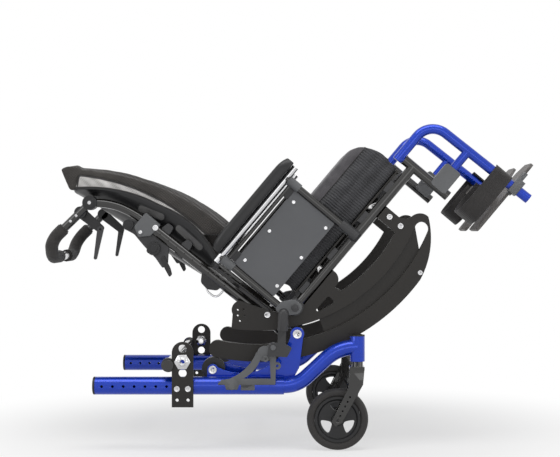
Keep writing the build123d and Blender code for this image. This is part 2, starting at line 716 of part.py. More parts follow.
def post_cap():
    """The collar on top of a post, with the bore for the legrest's pin."""
    collar = rod((POST_U, RAIL_HALF, POST_HIGH), (POST_U, RAIL_HALF, POST_HIGH + 1.7), RAIL_TUBE + 3)
    return collar - rod((POST_U, RAIL_HALF, POST_HIGH - 1), (POST_U, RAIL_HALF, POST_HIGH + 3), RAIL_TUBE - 6)


def seat_cross(u):
    """A tube between the two seat rails, shaped to seat on them."""
    tube = rod((u, -RAIL_HALF, RAIL_W), (u, RAIL_HALF, RAIL_W), 22.2, 18)
    for side in (-1, 1):
        tube -= rod((u - 40, side * RAIL_HALF, RAIL_W), (u + 40, side * RAIL_HALF, RAIL_W), RAIL_TUBE)
    return tube


def rail_clamp(u):
    """A saddle on a rail that carries the seat pan."""
    block = box((u - 16, u + 16), (RAIL_HALF - 15, RAIL_HALF + 9), (RAIL_W - 4, CUSHION_LOW - PAN))
    return block - rod((u - 40, RAIL_HALF, RAIL_W), (u + 40, RAIL_HALF, RAIL_W), RAIL_TUBE)


rail = seat_rail()
post = legrest_post()
cap = post_cap()
add("legrest_posts", *[seated(s) for s in (post, mirrored(post), cap, mirrored(cap))])
cross_tubes = [seated(seat_cross(u)) for u in SEAT_CROSS_U]
add("seat_frame", seated(rail), seated(mirrored(rail)), *cross_tubes)
clamps = [rail_clamp(u) for u in (-170, -60, 60, 160)]
add("rail_clamps", *[seated(c) for c in clamps], *[seated(mirrored(c)) for c in clamps])
add("seat_pan", seated(box((-196, 205), (-CUSHION_HALF + 6, CUSHION_HALF - 6), (CUSHION_LOW - PAN, CUSHION_LOW))))


def seat_cushion():
    """A foam cushion: crowned top, bevelled upper edges, drawn-in sides, rounded nose."""
    half = CUSHION_HALF
    across = make_face(
        Line((-half + 4, CUSHION_LOW), (half - 4, CUSHION_LOW))
        + ThreePointArc((half - 4, CUSHION_LOW), (half - 7, (CUSHION_LOW + CUSHION_SIDE) / 2), (half, CUSHION_SIDE - 4))
        + Line((half, CUSHION_SIDE - 4), (half - 26, CUSHION_CROWN - 7))
        + ThreePointArc((half - 26, CUSHION_CROWN - 7), (0, CUSHION_CROWN), (-half + 26, CUSHION_CROWN - 7))
        + Line((-half + 26, CUSHION_CROWN - 7), (-half, CUSHION_SIDE - 4))
        + ThreePointArc((-half, CUSHION_SIDE - 4), (-half + 7, (CUSHION_LOW + CUSHION_SIDE) / 2), (-half + 4, CUSHION_LOW))
    )
    body = Pos(CUSHION_REAR - 20, 0, 0) * extrude(Plane.YZ * across, CUSHION_FRONT - CUSHION_REAR + 60)
    side = make_face(
        Line((CUSHION_REAR, CUSHION_LOW - 1), (CUSHION_FRONT - 2, CUSHION_LOW - 1))
        + ThreePointArc((CUSHION_FRONT - 2, CUSHION_LOW - 1), (CUSHION_FRONT + 6, -245), (CUSHION_FRONT - 6, -192))
        + ThreePointArc((CUSHION_FRONT - 6, -192), (CUSHION_FRONT - 18, -172), (CUSHION_FRONT - 45, CUSHION_CROWN))
        + Polyline((CUSHION_FRONT - 45, CUSHION_CROWN), (CUSHION_FRONT - 45, CUSHION_CROWN + 5), (CUSHION_REAR + 10, CUSHION_CROWN + 5), (CUSHION_REAR, CUSHION_CROWN - 12), (CUSHION_REAR, CUSHION_LOW - 1))
    )
    return body & plate(side, -half - 5, half + 5)


add("seat_cushion", seated(seat_cushion()))

# ---------------------------------------------------------------- seat: arm sockets
SOCKET = 30.0
ARM_PIN = 10.0
ARM_LUG_IN = ROCKER_OUT + 6.5


def arm_sockets():
    """The front socket clamped to the rail, and the rear casting with the flip pivot."""
    front = rod((ARM_FRONT_U, ARM_HALF, RAIL_W - 4), (ARM_FRONT_U, ARM_HALF, -262), SOCKET)
    neck = box((ARM_FRONT_U - 12, ARM_FRONT_U + 12), (RAIL_HALF, ARM_HALF), (RAIL_W - 11, RAIL_W + 11))
    front += neck
    front -= rod((-60, RAIL_HALF, RAIL_W), (80, RAIL_HALF, RAIL_W), RAIL_TUBE)
    cradle = ARM_TUBE + 2 * CLEAR
    front -= rod((ARM_FRONT_U, ARM_HALF, RAIL_W + 13), (ARM_FRONT_U, ARM_HALF, -200), cradle)
    way_out = (ARM_HALF - cradle / 2, ARM_HALF + cradle / 2)
    front -= box((ARM_FRONT_U - 30, ARM_FRONT_U), way_out, (RAIL_W + 13, -200))
    under_rail = RAIL_W - RAIL_TUBE / 2
    end_block = outline((-238, under_rail), (-204, under_rail), (-204, -290), (-251, -290))
    rail_side = RAIL_HALF + RAIL_TUBE / 2
    rear = plate(end_block, RAIL_HALF - 15, rail_side + 0.5)
    rear -= rod((RAIL_REAR, RAIL_HALF, RAIL_W), (80, RAIL_HALF, RAIL_W), RAIL_TUBE)
    rear += bar_y(*ARM_PIVOT, 42, rail_side + 0.5, ARM_LUG_IN - CLEAR)
    rear += bar_y(*ARM_PIVOT, ARM_PIN, rail_side + 0.5, ARM_HALF + 14)
    rear += bar_y(*ARM_PIVOT, 18, ARM_HALF + 14, ARM_HALF + 19)
    return [front, rear]


sockets = arm_sockets()
add("arm_sockets", *[seated(s) for s in sockets], *[seated(mirrored(s)) for s in sockets])


# ---------------------------------------------------------------- arms
def arm_frame():
    """One bent tube: front post, top run and rear post, with the pivot casting."""
    points = [
        (ARM_FRONT_U, ARM_HALF, RAIL_W + 13 + CLEAR),
        (ARM_FRONT_U, ARM_HALF, ARM_TOP_W),
        (ARM_REAR_U, ARM_HALF, ARM_TOP_W),
        (ARM_REAR_U, ARM_HALF, -285),
    ]
    tube = bent_tube(points, [14, 14], ARM_TUBE)
    lug = plate(link((ARM_REAR_U, -284), ARM_PIVOT, 15, 18), ARM_LUG_IN, ARM_HALF + 14 - CLEAR)
    frame = tube + lug
    return frame - bar_y(*ARM_PIVOT, ARM_PIN + 2 * RUN, ROCKER_OUT, ARM_HALF + 15)


def arm_pad():
    """A long pad with rounded ends on a thin carrier strip."""
    inner = ROCKER_OUT + 3.5
    low = ARM_TOP_W + ARM_TUBE / 2
    pad = box((PAD_REAR, PAD_REAR + PAD_LENGTH), (inner, inner + PAD_WIDTH), (low, PAD_HIGH))
    pad = fillet(pad.edges().filter_by(Axis.Z), 20)
    pad = fillet(pad.edges().group_by(Axis.Z)[-1], 11)
    return pad


def side_panel():
    """The flat side guard between the posts, with its corners bolted to tabs."""
    rear = ARM_REAR_U + ARM_TUBE / 2
    front = ARM_FRONT_U - ARM_TUBE / 2
    panel = box((rear, front), (ARM_HALF - PANEL / 2, ARM_HALF + PANEL / 2), (PANEL_LOW, PANEL_HIGH))
    return panel


add_pair("arm_frame", seated(arm_frame()))
add_pair("arm_pad", seated(arm_pad()))
add_pair("side_panel", seated(side_panel()))

# ---------------------------------------------------------------- back
CANE_BEND = [(-294, 150), (-308, 205), (-336, 250), KNUCKLE]


def back_cane():
    """A back cane: a straight tube that leans rearwards near its top."""
    points = [
        (CANE_U, CANE_HALF, CANE_LOW),
        (CANE_U, CANE_HALF, 110),
        (-333, CANE_HALF, 246),
        (KNUCKLE[0], CANE_HALF, KNUCKLE[1]),
    ]
    tube = bent_tube(points, [120, 24], CANE_TUBE, 2.5)
    tube -= bar_y(*KNUCKLE, KNUCKLE_SIZE, CANE_HALF - 30, CANE_HALF)
    tube -= bar_y(*KNUCKLE, KNUCKLE_SIZE + 2 * CLEAR, CANE_HALF - CLEAR, CANE_HALF + 30)
    tube -= bar_y(CANE_U, BACK_PIVOT_W, BOLT + 2 * RUN, CANE_HALF - 30, CANE_HALF + 30)
    return tube


def knuckle_fixed():
    """The half of a push-bar knuckle that sits on the cane."""
    return bar_y(*KNUCKLE, KNUCKLE_SIZE, CANE_HALF - 19, CANE_HALF - CLEAR)


def cane_bracket():
    """The tapered clamp where the cane's lower tube ends."""
    profile = outline((-303, 80), (-263, 80), (-272, 128), (-304, 126), radius=3)
    clamp = plate(profile, CANE_HALF - 16, CANE_HALF + 16)
    return clamp - back_cane_core()


def back_cane_core():
    """The space that a cane fills, walls and bore together."""
    points = [
        (CANE_U, CANE_HALF, CANE_LOW),
        (CANE_U, CANE_HALF, 110),
        (-333, CANE_HALF, 246),
        (KNUCKLE[0], CANE_HALF, KNUCKLE[1]),
    ]
    return bent_tube(points, [120, 24], CANE_TUBE)


BACK_FRONT = [(-331, 366), (-196, 152), (-161, -43)]
SHELL_STEP = 52.0
SHELL_DEPTH = 28.0


def strip(front_offset, depth, top_cut=0.0, bottom_cut=0.0):
    """A side-view strip behind the cushion's front line, of even depth."""
    (tu, tw), (mu, mw), (bu, bw) = BACK_FRONT
    tu, tw = tu, tw - top_cut
    bw = bw + bottom_cut
    front = ((tu - front_offset * 0.5, tw - front_offset * 0.6), (mu - front_offset, mw), (bu - front_offset, bw))
    back_offset = front_offset + depth
    back = ((tu - back_offset * 0.5, tw - back_offset * 0.6), (mu - back_offset, mw), (bu - back_offset, bw))
    return make_face(
        ThreePointArc(*front)
        + Line(front[2], back[2])
        + ThreePointArc(back[2], back[1], back[0])
        + Line(back[0], front[0])
    )


def back_cushion():
    """A thin contoured cushion: thickest in the middle, drawn in at both sides."""
    sections = []
    for share, depth in ((-1, 34), (-0.55, 42), (0, 46), (0.55, 42), (1, 34)):
        face = strip(46 - depth, depth)
        sections.append(Pos(0, share * BACK_HALF, 0) * (Plane.XZ * face))
    return loft(sections)


def back_shell():
    """The moulded shell behind the cushion."""
    shell = plate(strip(SHELL_STEP - 5, SHELL_DEPTH, 6, 4), -BACK_HALF, BACK_HALF)
    return shell


RIGIDIZER = (-326.0, 40.0)
KNOBS = ((-336.0, 69.0, 22.0), (-343.0, 40.0, 16.0))  # u, w and diameter


def back_mounts():
    """Two hooks that hang the shell on a cane, and the side plate behind it."""
    hooks = []
    for w in (-12, 52):
        block = box((-304, -236), (CANE_HALF - 17, CANE_HALF + 17), (w, w + 26))
        hooks.append(block - back_cane_core() - back_shell())
    side = outline((-303, 94), (-316, 92), (-337, 4), (-353, 0), (-351, -9), (-303, -9), radius=2)
    for u, w, size in KNOBS:
        side += link((-312, w), (u, w), 9, size / 2 - 1)
    wing = plate(side, CANE_HALF - 4, CANE_HALF + 4) - hooks[0] - hooks[1]
    wing = wing - back_cane_core() - cane_bracket()
    return hooks + [wing]


def back_hardware():
    """The cross bar behind the canes and its four clamping knobs."""
    bar = bar_y(*RIGIDIZER, 19, -CANE_HALF + 4, CANE_HALF - 4, 15)
    knobs = []
    for u, w, size in KNOBS:
        knobs.append(bar_y(u, w, size, CANE_HALF + 4, CANE_HALF + 16))
    return bar, knobs


cane = back_cane()
fixed = knuckle_fixed()
bracket = cane_bracket()
mounts = back_mounts()
cross_bar, knobs = back_hardware()
add("back_canes", seated(cane), seated(mirrored(cane)))
castings = [bracket, fixed, *mounts]
add("back_castings", *[seated(s) for s in castings], *[seated(mirrored(s)) for s in castings])
add("back_hardware", seated(cross_bar), *[seated(k) for k in knobs], *[seated(mirrored(k)) for k in knobs])
add("back_cushion", seated(back_cushion()))
add("back_shell", seated(back_shell()))

# ---------------------------------------------------------------- push bar
PUSH_TUBE = 22.2
PUSH_BEND = 36.0


def push_corners():
    """The corner points of the bar's left half, from its knuckle to its middle."""
    ku, kw = KNUCKLE
    return [
        (ku - PUSH_REACH + 20, CANE_HALF, kw + 2),
        (ku - PUSH_REACH - 16, CANE_HALF - 46, kw - 24),
    ]


def leg_point(u):
    """The point of the bar's left leg at a given u."""
    near = KNUCKLE[0] - 8
    corner = push_corners()[0]
    share = (near - u) / (near - corner[0])
    return (u, CANE_HALF, KNUCKLE[1] + share * (corner[2] - KNUCKLE[1]))


def push_bar():
    """The U-shaped bar with drooping corners that turns on the knuckles."""
    ku, kw = KNUCKLE
    left = [(ku - 8, CANE_HALF, kw), *push_corners()]
    right = [(x, -y, z) for x, y, z in reversed(left)]
    bar = bent_tube(left + right, [PUSH_BEND] * 4, PUSH_TUBE)
    for side in (-1, 1):
        inner = sorted((side * (CANE_HALF - 30), side * CANE_HALF))
        outer = sorted((side * CANE_HALF, side * (CANE_HALF + 30)))
        bar -= bar_y(*KNUCKLE, KNUCKLE_SIZE + 2 * CLEAR, *inner)
        bar -= bar_y(*KNUCKLE, KNUCKLE_SIZE, *outer)
    return bar


def knuckle_turning():
    """The half of a knuckle that turns with the push bar."""
    return bar_y(*KNUCKLE, KNUCKLE_SIZE, CANE_HALF, CANE_HALF + 17)


def push_grip():
    """A foam sleeve round a corner of the push bar."""
    (ru, ry, rw), (cu, cy, cw) = push_corners()
    points = [leg_point(KNUCKLE[0] - 102), (ru, ry, rw), (cu, cy, cw), (cu, 92, cw)]
    return bent_tube(points, [PUSH_BEND] * 2, GRIP, (GRIP - PUSH_TUBE) / 2)


LEVER_PIVOT = (-392.0, 196.0)
LEVER_TIP = (-456.0, 159.0)


def lever_clamp():
    """The clip under a push-bar leg that holds the tilt trigger."""
    strap = link((LEVER_PIVOT[0], KNUCKLE[1]), LEVER_PIVOT, 15, 9)
    clamp = plate(strap, CANE_HALF - 13, CANE_HALF - 6)
    clamp += plate(Pos(LEVER_PIVOT[0], KNUCKLE[1]) * Circle(15), CANE_HALF - 6, CANE_HALF + 6)
    leg = [(KNUCKLE[0] - 8, CANE_HALF, KNUCKLE[1]), push_corners()[0]]
    clamp -= rod(*leg, PUSH_TUBE)
    return clamp + bar_y(*LEVER_PIVOT, 6, CANE_HALF - 6, CANE_HALF + 6)


def tilt_lever():
    """The trigger that frees the tilt when squeezed towards the bar."""
    blade = link(LEVER_PIVOT, LEVER_TIP, 8, 4)
    lever = plate(blade, CANE_HALF - 6 + CLEAR, CANE_HALF + 3)
    return lever - bar_y(*LEVER_PIVOT, 6 + 2 * RUN, CANE_HALF - 10, CANE_HALF + 10)


bar = push_bar()
turning = knuckle_turning()
grip = push_grip()
lever_clip = lever_clamp()
turning_parts = [turning, lever_clip]
add("push_bar", seated(bar))
add("push_castings", *[seated(s) for s in turning_parts], *[seated(mirrored(s)) for s in turning_parts])
add("push_grips", seated(grip), seated(mirrored(grip)))
add_pair("tilt_lever", seated(tilt_lever()))


# ---------------------------------------------------------------- legrests
def hanger():
    """The blue legrest tube with its strut and pivot pin."""
    points = [
        (POST_U - 13, RAIL_HALF, HANGER_TOP),
        (HANGER_CORNER, RAIL_HALF, HANGER_TOP),
        (HANGER_END[0], RAIL_HALF, HANGER_END[1]),
    ]
    tube = bent_tube(points, [HANGER_BEND], HANGER_TUBE)
    strut = rod((300, RAIL_HALF, -391), (356, RAIL_HALF, -391), 22.2)
    pin = rod((POST_U, RAIL_HALF, HANGER_TOP), (POST_U, RAIL_HALF, POST_HIGH - 40), RAIL_TUBE - 6 - 2 * RUN)
    return tube + strut + pin


def latch():
    """The cast hook that holds a legrest against its post."""
    block = box((POST_U - 4, 300), (RAIL_HALF - 16, RAIL_HALF + 16), (-414, -368))
    block = fillet(block.edges().filter_by(Axis.Y), 6)
    return block - rod((POST_U, RAIL_HALF, -450), (POST_U, RAIL_HALF, -300), RAIL_TUBE + 2 * CLEAR)


FLIP_HALF = 201.0  # footplate hinge axis from the middle plane
FLIP_PIN = 6.0
BARREL = 13.0
BARREL_U = (342.0, 410.0)
STRAP_TAB = 42.0  # outer face of the strap's tab from the footplate's inner edge


def hanger_leg():
    """The space that the hanger's lower leg fills."""
    corner = (HANGER_CORNER, RAIL_HALF, HANGER_TOP)
    return rod(corner, (HANGER_END[0], RAIL_HALF, HANGER_END[1]), HANGER_TUBE)


def footplate_clamp():
    """The clamp on the hanger tube, with the footplate's hinge ears."""
    low, high = BARREL_U
    body = box((low + 4, high - 24), (FLIP_HALF + 10, RAIL_HALF + 17), (FOOTPLATE_W - 13, FOOTPLATE_W + 11))
    body = fillet(body.edges().filter_by(Axis.X), 4)
    for start in (low, high - 12):
        ear = rod((start, FLIP_HALF, FOOTPLATE_W), (start + 12, FLIP_HALF, FOOTPLATE_W), BARREL)
        ear += box((start, start + 12), (FLIP_HALF, RAIL_HALF - 2), (FOOTPLATE_W - 5, FOOTPLATE_W + 5))
        body += ear
    bridge = box((low, high), (RAIL_HALF - 13, RAIL_HALF - 2), (FOOTPLATE_W - 5, FOOTPLATE_W + 5))
    body += bridge
    body -= hanger_leg()
    return body + rod((low, FLIP_HALF, FOOTPLATE_W), (high, FLIP_HALF, FOOTPLATE_W), FLIP_PIN)


def footplate():
    """The flip-up plate with a hinge barrel between the clamp's ears."""
    low, high = BARREL_U
    outer = FLIP_HALF - BARREL / 2 - 1
    plate_shape = outline(
        (FOOTPLATE_REAR, FLIP_HALF - FOOTPLATE_WIDTH),
        (FOOTPLATE_FRONT - 30, FLIP_HALF - FOOTPLATE_WIDTH),
        (FOOTPLATE_FRONT, FLIP_HALF - FOOTPLATE_WIDTH + 40),
        (FOOTPLATE_FRONT, outer),
        (FOOTPLATE_REAR, outer),
        radius=14,
    )
    body = Pos(0, 0, FOOTPLATE_W - FOOTPLATE / 2) * extrude(Plane.XY * plate_shape, FOOTPLATE)
    inner = (low + 12 + CLEAR, high - 12 - CLEAR)
    body += box(inner, (outer - 2, FLIP_HALF), (FOOTPLATE_W - FOOTPLATE / 2, FOOTPLATE_W + FOOTPLATE / 2))
    body += rod((inner[0], FLIP_HALF, FOOTPLATE_W), (inner[1], FLIP_HALF, FOOTPLATE_W), BARREL)
    tab = FLIP_HALF - FOOTPLATE_WIDTH + STRAP_TAB
    body += box((302, 330), (tab - 4, tab), (FOOTPLATE_W, STRAP_W + STRAP * 0.3))
    return body - rod((low, FLIP_HALF, FOOTPLATE_W), (high, FLIP_HALF, FOOTPLATE_W), FLIP_PIN + 2 * RUN)


def heel_strap():
    """The webbing loop that runs from the hanger tube back round the heel."""
    reach = HANGER_TUBE / 2 + STRAP_THICK / 2 + 1
    tube_u = 360.4
    tab_y = FLIP_HALF - FOOTPLATE_WIDTH + STRAP_TAB + STRAP_THICK / 2
    path = FilletPolyline(
        (tube_u + reach, RAIL_HALF - 12, 0),
        (tube_u + reach, RAIL_HALF + reach, 0),
        (238, RAIL_HALF + reach - 4, 0),
        (222, 130, 0),
        (262, tab_y, 0),
        (326, tab_y, 0),
        radius=[13, 34, 40, 40],
    )
    section = Plane(origin=path @ 0, z_dir=path % 0, x_dir=(0, 0, 1)) * Rectangle(STRAP, STRAP_THICK)
    strap = sweep(section, path=path, transition=Transition.RIGHT)
    return Pos(0, 0, STRAP_W) * strap


latch_block = latch()
clamp_block = footplate_clamp()
add_pair("hanger", seated(hanger()))
add("legrest_castings_left", seated(latch_block), seated(clamp_block))
add("legrest_castings_right", seated(mirrored(latch_block)), seated(mirrored(clamp_block)))
add_pair("footplate", seated(footplate()))
add_pair("heel_strap", seated(heel_strap()))

# ---------------------------------------------------------------- centre and write
whole = Compound([solid for shape in pieces.values() for solid in shape.solids()])
bounds = whole.bounding_box()
centre_x = (bounds.min.X + bounds.max.X) / 2
print("centre_x", round(centre_x, 3), "size", bounds.size, "low", round(bounds.min.Z, 3))

os.makedirs("parts", exist_ok=True)
for name, shape in pieces.items():
    placed = Pos(-centre_x, 0, 0) * shape
    export_step(placed, f"parts/{name}.step")
print(len(pieces), "nodes")
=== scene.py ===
# %% [markdown]
# # A tilt-in-space wheelchair, dressed for its portrait
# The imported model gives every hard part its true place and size. This lesson adds what the
# solids leave out: sewn covers, foam, woven straps, moulded shells and the finish of every
# surface. Each piece is made where it belongs, in metres, in the same frame as the solids.

# %% Load the frame
import json
from math import atan2, cos, pi, radians, sin

import bmesh
import bpy
from mathutils import Matrix, Vector

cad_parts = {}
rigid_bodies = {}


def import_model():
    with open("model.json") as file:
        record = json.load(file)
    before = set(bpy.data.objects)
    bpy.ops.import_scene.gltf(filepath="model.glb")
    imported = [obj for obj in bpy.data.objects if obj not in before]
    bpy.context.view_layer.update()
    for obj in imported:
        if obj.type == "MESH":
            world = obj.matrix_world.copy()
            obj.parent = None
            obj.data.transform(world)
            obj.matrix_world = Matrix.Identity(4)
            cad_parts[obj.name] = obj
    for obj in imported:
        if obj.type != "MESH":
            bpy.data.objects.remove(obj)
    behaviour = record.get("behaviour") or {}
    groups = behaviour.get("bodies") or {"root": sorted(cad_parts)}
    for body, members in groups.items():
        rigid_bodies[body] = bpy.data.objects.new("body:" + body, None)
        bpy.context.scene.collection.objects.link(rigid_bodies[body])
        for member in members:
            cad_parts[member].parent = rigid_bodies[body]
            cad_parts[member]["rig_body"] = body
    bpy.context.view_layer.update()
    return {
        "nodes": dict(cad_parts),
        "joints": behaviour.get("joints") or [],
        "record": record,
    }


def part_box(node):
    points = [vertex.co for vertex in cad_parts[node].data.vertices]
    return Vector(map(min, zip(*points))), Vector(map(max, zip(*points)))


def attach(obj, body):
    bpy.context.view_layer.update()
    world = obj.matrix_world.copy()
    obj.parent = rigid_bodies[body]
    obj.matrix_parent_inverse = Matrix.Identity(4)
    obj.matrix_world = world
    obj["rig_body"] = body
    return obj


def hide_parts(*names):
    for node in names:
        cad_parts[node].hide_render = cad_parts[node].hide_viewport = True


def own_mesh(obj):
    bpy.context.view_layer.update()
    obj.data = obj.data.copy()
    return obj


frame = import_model()
nodes = frame["nodes"]
scene = bpy.context.scene

# %% [markdown]
# ## The seat's own directions
# The chair is shown at its full tilt, so the whole seat leans fifty degrees. A piece of the seat
# is easier to draw in the seat's own frame, in millimetres: u forwards along the rails, y across
# and w square to both. The tilt joint's place in the record gives the origin, so nothing is
# typed twice.

# %% The seat's frame
TILT = radians(50)
tilt_joint = next(j for j in frame["joints"] if j["name"] == "tilt")
CENTRE = Vector(tilt_joint["pos_m"])
SEAT = Matrix.Translation(CENTRE) @ Matrix.Rotation(-TILT, 4, "Y")
TO_SEAT = SEAT.inverted()
SIDES = (("left", 1), ("right", -1))


print("tilt centre", [round(c, 4) for c in CENTRE])

# %% [markdown]
# ## Selecting, editing and modifiers
# Blender's operators act on whatever is selected, and the solids arrive selected, so every piece
# starts with an empty selection. These helpers wrap the few steps that each piece repeats.

# %% Modelling helpers
def select_only(*pieces):
    """Leave only these pieces selected, with the first one active."""
    bpy.ops.object.select_all(action="DESELECT")
    for piece in pieces:
        piece.select_set(True)
    bpy.context.view_layer.objects.active = pieces[0]


def edit(piece):
    """Go into edit mode on one piece with all of it selected."""
    select_only(piece)
    bpy.ops.object.mode_set(mode="EDIT")
    bpy.ops.mesh.select_all(action="SELECT")


def leave_edit():
    """Go back to object mode."""
    bpy.ops.object.mode_set(mode="OBJECT")


def pick(piece, kind, wanted):
    """Go into edit mode with only the faces or points selected that a test picks."""
    select_only(piece)
    bpy.ops.object.mode_set(mode="EDIT")
    bpy.ops.mesh.select_mode(type=kind)
    bpy.ops.mesh.select_all(action="DESELECT")
    leave_edit()
    for part in piece.data.polygons if kind == "FACE" else piece.data.vertices:
        part.select = wanted(part)
    bpy.ops.object.mode_set(mode="EDIT")


def add_modifier(piece, kind, **values):
    """Add a modifier and set its values."""
    modifier = piece.modifiers.new(kind.title(), kind)
    for name, value in values.items():
        setattr(modifier, name, value)
    return modifier


def apply_modifiers(piece):
    """Turn all of a piece's modifiers into plain mesh."""
    select_only(piece)
    for modifier in list(piece.modifiers):
        bpy.ops.object.modifier_apply(modifier=modifier.name)


def smooth(piece, angle, weighted=True):
    """Shade a piece smooth, keep its edges sharper than an angle, and keep flat faces flat."""
    select_only(piece)
    bpy.ops.object.shade_smooth_by_angle(angle=radians(angle))
    if weighted:
        add_modifier(piece, "WEIGHTED_NORMAL", keep_sharp=True, weight=100)
        apply_modifiers(piece)


def bevel_edges(piece, width, angle):
    """Round the edges sharper than an angle, by a width in millimetres."""
    add_modifier(
        piece, "BEVEL", width=width / 1000, segments=2, limit_method="ANGLE", angle_limit=radians(angle),
    )
    apply_modifiers(piece)


def refine(piece):
    """Subdivide a piece once, for a soft outline."""
    add_modifier(piece, "SUBSURF", levels=1, render_levels=1)
    apply_modifiers(piece)


def settle(piece):
    """Move a piece's place and size from its object into its mesh."""
    select_only(piece)
    bpy.ops.object.transform_apply(location=True, rotation=True, scale=True)


def to_seat(piece):
    """Place a piece that was drawn in the seat's frame, in metres, into the chair."""
    piece.matrix_world = SEAT @ piece.matrix_world
    settle(piece)


def tidy_normals(piece):
    """Merge what lies together and point every face outwards."""
    edit(piece)
    bpy.ops.mesh.remove_doubles(threshold=0.00001)
    bpy.ops.mesh.normals_make_consistent(inside=False)
    leave_edit()


# %% [markdown]
# ## Making a piece and handing it over
# A solid's mesh is loose triangles, so a copy of it is merged before it is shaped. Every finished
# piece rides on one body and may hide solids.

# %% Pieces and their owners
def new_object(name, data):
    """A new object, linked into the scene."""
    piece = bpy.data.objects.new(name, data)
    scene.collection.objects.link(piece)
    return piece


def from_solid(node_name, name):
    """A merged copy of a solid, ready to be shaded or softened."""
    piece = new_object(name, nodes[node_name].data.copy())
    piece.data.materials.clear()
    edit(piece)
    bpy.ops.mesh.remove_doubles(threshold=0.00002)
    leave_edit()
    return piece


def mesh_piece(name, points, edges=(), faces=()):
    """A new piece from bare points, in millimetres in the seat's frame."""
    mesh = bpy.data.meshes.new(name)
    mesh.from_pydata([Vector(point) / 1000 for point in points], edges, faces)
    return new_object(name, mesh)


def merge(name, *pieces):
    """Join pieces into one object."""
    select_only(*pieces)
    bpy.ops.object.join()
    joined = bpy.context.object
    joined.name = name
    return joined


def hand_over(piece, body, slot, *replaced):
    """Say which body carries a piece and which solids it hides. The slot is not used."""
    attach(piece, body)
    if replaced:
        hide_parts(*replaced)


def dress(piece, material, body, slot, *replaced):
    """Give a finished piece its material and its body."""
    piece.data.materials.clear()
    piece.data.materials.append(material)
    hand_over(piece, body, slot, *replaced)


# %% [markdown]
# ## Node trees in a few words
# Every finish is a small node tree on the Principled shader. All of them read Object
# coordinates, so a pattern stays on its piece when the piece moves. A bevel lookup rounds the
# crisp edges of the hard parts and shows where paint would wear.

# %% Material helpers
MIX_FACTOR, MIX_A, MIX_B, MIX_RESULT = 0, 6, 7, 2  # a colour Mix node's sockets, by number
WORN_EDGE = 0.0012  # how far wear reaches from an edge, in metres


def feed(node, inputs):
    """Give a node's inputs their values, or other nodes' outputs to follow."""
    for socket, value in inputs.items():
        if isinstance(value, bpy.types.NodeSocket):
            node.id_data.links.new(value, node.inputs[socket])
        else:
            node.inputs[socket].default_value = value


def add_node(tree, kind, inputs, **values):
    """A node with its settings and its inputs. What comes back is its outputs."""
    node = tree.nodes.new("ShaderNode" + kind)
    for name, value in values.items():
        setattr(node, name, value)
    feed(node, inputs)
    return node.outputs


def new_material(name, **sockets):
    """A Principled material with plain values on its own sockets, and its shader."""
    material = bpy.data.materials.new(name)
    material.use_nodes = True
    shader = material.node_tree.nodes["Principled BSDF"]
    feed(shader, {socket.replace("_", " "): value for socket, value in sockets.items()})
    return material, shader


def object_place(tree, turn=(0, 0, 0)):
    """Object coordinates, turned by a mapping."""
    place = add_node(tree, "TexCoord", {})["Object"]
    return add_node(tree, "Mapping", {"Vector": place, "Rotation": turn})["Vector"]


def noise(tree, place, scale, detail, rough=0.5):
    """A noise texture on a place."""
    inputs = {"Vector": place, "Scale": scale, "Detail": detail, "Roughness": rough}
    return add_node(tree, "TexNoise", inputs)["Fac"]


def ramp(tree, source, low, high, low_colour, high_colour):
    """A ramp between two colours, driven by a value."""
    colour = add_node(tree, "ValToRGB", {"Fac": source})["Color"]
    start, end = colour.node.color_ramp.elements
    start.position = low
    end.position = high
    start.color = (*low_colour, 1)
    end.color = (*high_colour, 1)
    return colour


def mottle(tree, cloud, low, high, colour, dark, light):
    """A colour that a cloud moves between a darker and a lighter shade of itself."""
    shades = [tuple(min(1, c * share) for c in colour) for share in (dark, light)]
    return ramp(tree, cloud, low, high, *shades)


def add_bump(tree, height, strength, distance, **under):
    """The normal of a bump from a height. Under it may lie another Normal."""
    inputs = {"Height": height, "Strength": strength, "Distance": distance, **under}
    return add_node(tree, "Bump", inputs)["Normal"]


def edge_lookup(tree):
    """The rounded normal at an edge, and a mask that is 1 on the edge itself."""
    soft = add_node(tree, "Bevel", {"Radius": WORN_EDGE}, samples=4)["Normal"]
    true = add_node(tree, "NewGeometry", {})["Normal"]
    dot = add_node(tree, "VectorMath", {0: soft, 1: true}, operation="DOT_PRODUCT")["Value"]
    mask = add_node(tree, "MapRange", {"Value": dot, "From Min": 0.985, "From Max": 0.80})
    return soft, mask["Result"]


def hard_finish(name, colour, worn, rough, grain, grain_size, spread, **sockets):
    """Paint, powder coat, casting or moulding: mottled colour, fine grain and worn edges."""
    material, shader = new_material(name, **sockets)
    tree = material.node_tree
    place = object_place(tree)
    cloud = noise(tree, place, 9.0, 4.0, 0.6)
    soft, edge = edge_lookup(tree)
    patch = noise(tree, place, 60.0, 5.0, 0.7)
    broken = add_node(tree, "MapRange", {"Value": patch, "From Min": 0.45, "From Max": 0.62})["Result"]
    wear = add_node(tree, "Math", {0: edge, 1: broken}, operation="MULTIPLY")["Value"]
    tint = mottle(tree, cloud, 0.3, 0.7, colour, 1 - spread, 1 + spread)
    paint = {MIX_FACTOR: wear, MIX_A: tint, MIX_B: (*worn, 1)}
    gloss = {"Value": cloud, "To Min": rough * 0.82, "To Max": min(1, rough * 1.18)}
    fine = noise(tree, place, 1000 / grain_size, 3.0, 0.55)
    feed(shader, {
        "Base Color": add_node(tree, "Mix", paint, data_type="RGBA")[MIX_RESULT],
        "Roughness": add_node(tree, "MapRange", gloss)["Result"],
        "Normal": add_bump(tree, fine, grain, grain_size * 0.0003, Normal=soft),
    })
    return material

